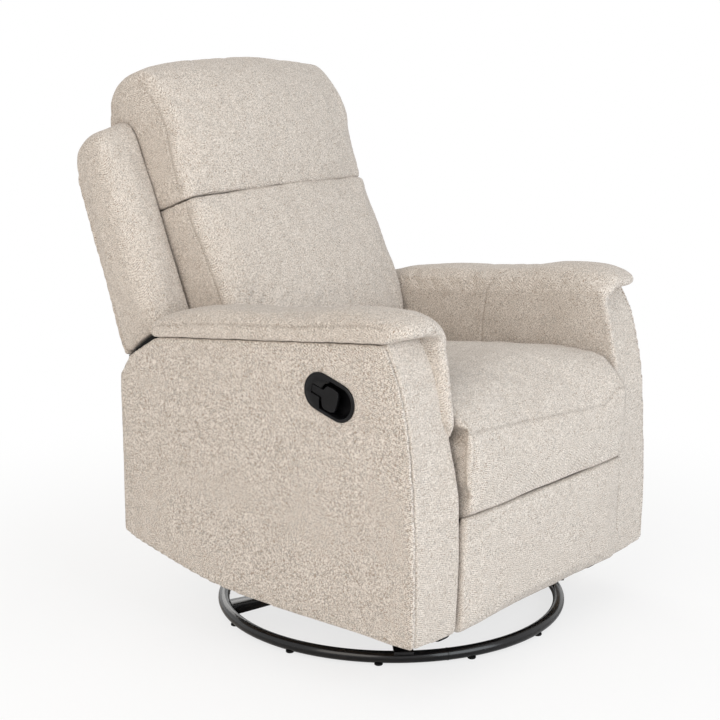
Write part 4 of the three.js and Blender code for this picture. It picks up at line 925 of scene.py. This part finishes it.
def skirtRings(side):  # the pad's cloth goes on down the inside of the arm, past the seat's edge
    rings = []
    for share in np.linspace(0, 1, 60):
        along = -300 + share * 520
        high, low = armTop(max(-262, along)) + 8, seatSide(along) - 27
        down = []
        for z in np.linspace(high, low, 22):
            y = (armFront(z) + 7) * (1 - share) + 220 * share
            down.append((insideX(along, z), y, z))
        up = [(257, y, z) for x, y, z in down[::-1]]
        rings.append([spot(side * x, y, z) for x, y, z in down + up])
    return rings


def buildArmPad(side):
    forms = [padRings(side), stripRings(side), skirtRings(side)]
    made = cover(f"arm_pad_cover_{sides[side]}", forms, "carriage", f"arm_pad_{sides[side]}",
                 grain=4.2, relax=5)

    def held(co, out):
        y, z = measured(co)
        return z - armTop(y) < 6
    return stuff(made, held, most=8, pressure=3.0, slack=0.010)


def finishArmPad(made, side):
    doubled(made)
    co, out = places(made), directions(made)
    y, z = measured(co)
    lineTop = np.interp(y, *zip(*[(a, b) for a, b in sorted(pad["top"]) if b > 600 or a > -290]))
    boxing = np.abs(z - (lineTop - pad["seamBelow"])) / 1000
    boxing += (side * co[:, 0] < pad["boxingFrom"] / 1000) * 1.0 + (y < -272) * 1.0
    curve = smooth(arm["innerSeam"], 40)
    flat = np.stack([y, z], axis=1) / 1000
    inner = away(flat, curve / 1000) + (side * out[:, 0] > -0.2) * 1.0
    sew(made, [boxing, inner], depth=1.1, width=1.9, puff=0.5)
    crumpled(made, 2.4, 10, (0.8, 1.2, 1.2), 9.1 * side, lambda co, out: out[:, 2] > -0.3)
    nose = lambda co, out: np.clip((-225 - measured(co)[0]) / 50, 0, 1) * (co[:, 2] > 0.56)
    crumpled(made, 2.2, 34, (1.3, 0.7, 0.9), 5.2 * side, nose)
    crumpled(made, 0.8, 36, (1.3, 0.5, 1), 2.6 * side)


# lower rear panel
lowerRear = {"near": 325.5, "far": 337, "low": 154, "high": 289, "halfWidth": 249.4, "hem": 14}


def buildLowerRear():
    p = lowerRear
    bm = bmesh.new()
    bmesh.ops.create_cube(bm, size=1)
    low, high = spot(-p["halfWidth"], p["near"], p["low"]), spot(p["halfWidth"], p["far"], p["high"])
    bmesh.ops.scale(bm, vec=high - low, verts=bm.verts[:])
    bmesh.ops.translate(bm, vec=(low + high) / 2, verts=bm.verts[:])
    bevelled(bm, bm.edges[:], 0.004, 3)
    made = cover("lower_rear_cover", bm, "carriage", "rear_lower_panel", grain=4.5, relax=1)
    y, z = measured(places(made))
    sew(made, [np.abs(z - p["low"] - p["hem"]) / 1000 + (y < 334) * 1.0], depth=0.9, width=2.2, puff=0.2)
    crumpled(made, 0.9, 14, (1, 1, 1.4), 4.9, lambda co, out: measured(co)[0] > 330)
    doubled(made)


# footrest pad
footPad = {
    "halfWidth": 245.5, "front": 346, "rear": 305.6, "low": 89, "high": 276, "lip": 289.5, "edge": 9,
    "crown": 3}


def buildFootPad():
    p = footPad
    front, rear, low, high, lip = -p["front"], -p["rear"], p["low"], p["high"], p["lip"]
    loop = looped([(rear, low + 1), (rear, high - 1), (front + 12, high - 0.5), (front + 10, lip - 1),
                   (front + 5, lip), (front - 4, lip - 0.5), (front - 6, lip - 4), (front - 4.5, lip - 12),
                   (front - 3, high - 26), (front - 1, 190), (front, low + 30), (front + 3, low + 9),
                   (front + 12, low)], 110)
    half, edge = p["halfWidth"], p["edge"]
    stations = [half * s for s in (0, 0.3, 0.6, 0.8)] + turnedEdge(half, edge, (0, 25, 48, 66, 80, 90))
    rings = []
    for x in mirrored(stations):
        give = p["crown"] * (x / half) ** 2 + 0.7 * edge * rolledIn(x, half, edge)
        rings.append(upright(x, loop + np.outer(give * np.clip((rear - loop[:, 0]) / 25, 0, 1), (1, 0))))
    made = cover("footrest_cover", [rings], "footrest", "footrest_pad", grain=4.4, relax=1)

    def held(co, out):
        y, z = measured(co)
        return (y > -330) | (np.abs(co[:, 0]) > (half - 4) / 1000) | (z > 278)
    return stuff(made, held, most=5, pressure=2.5, slack=0.003)


def finishFootPad(made):
    doubled(made)
    front = lambda co, out: measured(co)[0] < -325
    crumpled(made, 2.0, 9, (0.8, 1, 1.3), 3.9, front)
    crumpled(made, 0.7, 32, (0.6, 1, 1.2), 8.8, front)


# release handle
handle = {
    "forward": 159, "height": 484.9, "tilt": 18, "length": 99, "width": 56, "lip": 4.0, "rim": 4.0,
    "wall": 2.5, "depth": 22, "face": 363.3, "paddleReach": 34, "paddleThick": 7, "paddleSet": 2.2,
    "rod": 4.8, "rodLength": 44,
    "plate": [(365.0, 0.3), (366.2, 0), (367.0, 0.3), (367.4, 1.1)],
    "slot": 8.2,
    "head": [(-19, -3), (-18, -19), (-10, -23), (3, -23.5), (9, -21), (13, -13), (14, -7), (38, -6.6),
        (40, -4), (40, 4), (38, 6.6), (14, 7), (12, 12), (9, 16.5), (-3, 17.5), (-14, 16), (-18, 9)]}


def handlePoint(along, up, out):  # on the handle: along its long axis rearward, up, and out of the arm
    turn = math.radians(handle["tilt"])
    return spot(-out, -handle["forward"] + along * math.cos(turn) - up * math.sin(turn),
                handle["height"] + along * math.sin(turn) + up * math.cos(turn))


def arc(middle, radius, degrees):
    return [(middle + radius * math.cos(math.radians(t)), radius * math.sin(math.radians(t))) for t in degrees]


def stadium(length, width):
    run, half = (length - width) / 2, width / 2
    return arc(run, half, range(-90, 91, 9)) + arc(-run, half, range(90, 271, 9))


def handleRings(line, section):  # the outline at each distance out, drawn in by the other number
    return [[handlePoint(a, u, out) for a, u in drawnIn(np.array(line), inset)] for out, inset in section]


def cutHandleHole(made):
    bm = bmesh.new()
    loft(bm, handleRings(stadium(handle["length"] + 2, handle["width"] + 2), ((328, 0), (372, 0))))
    bmesh.ops.recalc_face_normals(bm, faces=bm.faces[:])
    cutter = shown("hole", filled("hole", bm))
    hole = made.modifiers.new("hole", "BOOLEAN")
    hole.object, hole.operation, hole.solver = cutter, "DIFFERENCE", "EXACT"
    applied(made)
    bpy.data.objects.remove(cutter)


def buildCup():
    p, face, wall = handle, handle["face"], handle["wall"]
    lip, rim, floor = face + p["lip"], p["rim"], face - p["depth"]
    profile = [(0, floor), (0.6, face - 2), (1.0, face + 0.2), (rim, face + 0.2), (rim + 0.6, face + 1.5),
               (rim - 0.8, lip - 0.6), (rim - 2.2, lip), (-0.4, lip), (-1.8, lip - 1.0), (-wall, lip - 3.4),
               (-wall - 0.6, floor + 7), (-wall - 4, floor + wall + 0.5)]
    rings = [[handlePoint(a, u, out) for a, u in stadium(p["length"] + 2 * grown, p["width"] + 2 * grown)]
             for grown, out in profile]
    doubled(piece("handle_bezel", [rings], "black_plastic", "carriage", "handle_cup"))


def buildHandleCover():  # the plate over the rear of the cup, slotted for the paddle's stem
    p, slot = handle, handle["slot"]
    half = p["width"] / 2 + 0.4
    rear = (p["length"] - p["width"]) / 2
    outline = [(13, -half)] + arc(rear, half, range(-90, 91, 6)) + [
        (4, half), (6, 23), (13, 18.5), (16.5, slot + 3), (18, slot), (37, slot), (37, -slot), (18, -slot),
        (16.5, -15), (12.5, -25)]
    rings = handleRings(looped(outline, 160), p["plate"])
    shaded(piece("handle_cover_plate", [rings], "black_plastic", "carriage"))


def buildPaddle():
    p = handle
    far = p["face"] + 4 - p["paddleSet"] + 1.2
    near = far - p["paddleThick"]
    rings = handleRings(looped(p["head"], 120), ((near, 1.6), (near + 0.8, 0.4), (near + 3, 0), (far - 1.6, 0),
                                                 (far - 0.5, 0.6), (far, 1.7), (far - 0.5, 4.0)))
    doubled(piece("release_lever", [rings], "black_plastic", "paddle", "release_paddle"))
    rod, length = p["rod"] / 2000, p["rodLength"] / 1000
    bm = bmesh.new()
    bmesh.ops.create_cone(bm, cap_ends=True, segments=24, radius1=rod, radius2=rod, depth=length)
    bevelled(bm, [e for e in bm.edges if len(e.link_faces) == 2 and e.calc_face_angle() > 1], 0.0006, 2)
    placed(bm, Matrix.Rotation(math.radians(p["tilt"]), 3, "X"), handlePoint(p["paddleReach"], 0, near + 2.2))
    piece("release_lever_rod", bm, "black_plastic", "paddle")


# footrest bumpers
bumper = {
    "forward": 286, "height": 81, "width": 34, "near": 224.5,
    "profile": [(0, 1.0), (0.4, 0.25), (2.0, 0), (6, 0.35), (10, 0.0), (17, 0.35), (20.5, 0.5), (21.3, 1.6),
        (21.5, 4.5), (20.4, 5.6), (20.2, 9.5)]}


def buildBumper(side):
    p = bumper
    rings = [[spot(side * (p["near"] + out), -p["forward"] + (p["width"] / 2 - inset) * math.cos(t),
                   p["height"] + (p["width"] / 2 - inset) * math.sin(t)) for t in turns(48)]
             for out, inset in p["profile"]]
    doubled(piece(f"bumper_{sides[side]}", [rings], "rubber", "footrest", f"footrest_bumper_{sides[side]}"))


# everything
def buildCover():
    soft = [(finishSeat, buildSeat()), (finishBackPad, buildBackCushion(), backPad),
            (finishBackPad, buildHeadrest(), headPad), (finishFootPad, buildFootPad())]
    for side in sides:
        soft += [(finishWing, buildWing(side)), (finishArmPad, buildArmPad(side), side)]
    print("cushions shaped:", len(soft))
    fillOut()
    print("cushions filled out")
    for finish, *about in soft:
        finish(*about)
    finishOutsideBack(buildOutsideBack())
    for side in sides:
        # a black sheet below each wing, painted shade for the gap there
        buildGapShadeSheet(side)
        finishOuterPanel(buildOuterPanel(side), side)
        finishInnerPanel(buildInnerPanel(side), side)
        finishFrontPanel(buildFrontPanel(side), side)
    buildLowerRear()
    print("cover finished")


def buildHardware():
    buildBase()
    buildWeld()
    buildCup()
    buildHandleCover()
    buildPaddle()
    for side in sides:
        buildBumper(side)
    for row in frame["record"]["subparts"]:
        made = nodes[row["node"]]
        made.data.materials.clear()
        made.data.materials.append(finishes[row["material_slot"]])
    print("hardware finished")


# light and floor; a lamp has its place and size in metres, its power in watts and its colour
lamps = {"front": ((-0.3, -3.5, 1.35), 2.6, 75, (0.885, 0.944, 1.0)),
         "right": ((-3.2, -0.7, 1.8), 2.4, 50, (1.0, 0.92, 0.83)),
         "above": ((0.6, 0.2, 3.4), 2.6, 10, (1.0, 0.98, 0.95)),
         "behind": ((1.6, 2.9, 2.2), 2.4, 30, (1.0, 0.98, 0.95))}
day = {"colour": (1.0, 0.99, 0.975), "strength": 0.56}


def light():  # the camera and reflections see plain white instead of the daylight
    sheet = Sheet("daylight", scene.world or bpy.data.worlds.new("daylight"))
    scene.world = sheet.owner
    seen = (sheet.add("LightPath", output="Is Camera Ray")
            + sheet.add("LightPath", output="Is Glossy Ray")
            + sheet.add("LightPath", output="Is Transmission Ray"))
    both = sheet.add("MixShader", None, {
        0: sheet.math("MINIMUM", seen, 1.0),
        1: sheet.add("Background", None, {"Color": day["colour"], "Strength": day["strength"]}),
        2: sheet.add("Background", None, {"Color": (1.0, 1.0, 1.0), "Strength": 1.0})})
    sheet.add("OutputWorld", None, {"Surface": both})
    for name, (place, size, power, colour) in lamps.items():
        data = bpy.data.lights.new(name, "AREA")
        data.size, data.energy, data.color = size, power, colour
        lamp = shown(name, data)
        lamp.location = place
        lamp.rotation_euler = (Vector((0, 0, 0.5)) - Vector(place)).to_track_quat("-Z", "Y").to_euler()


def layFloor():
    bm = bmesh.new()
    bmesh.ops.create_grid(bm, x_segments=2, y_segments=2, size=14)
    mesh = filled("floor", bm)
    floor = shown("floor", mesh)
    floor.location.z = -0.0005
    sheet = Sheet("pale_floor")
    seen = sheet.add("LightPath", output="Is Camera Ray")
    plain = sheet.add("BsdfDiffuse", None, {"Color": (0.86, 0.86, 0.86)})
    glow = sheet.add("Emission", None, {"Color": (1.0, 1.0, 1.0), "Strength": 1.0})
    place = sheet.place()
    run = sheet.add("VectorMath", {"operation": "LENGTH"}, {0: place}, output=1)
    far = sheet.add("MapRange", {"interpolation_type": "SMOOTHSTEP"},
                    {"Value": run, "From Min": 0.45, "From Max": 1.5, "To Min": 0.74, "To Max": 1.0})
    sheet.add("OutputMaterial", None,
              {"Surface": sheet.add("MixShader", None, {0: seen * far, 1: plain, 2: glow})})
    mesh.materials.append(sheet.owner)


addCamera()
light()
layFloor()
scene.view_settings.view_transform = "Standard"
buildCover()
buildHardware()
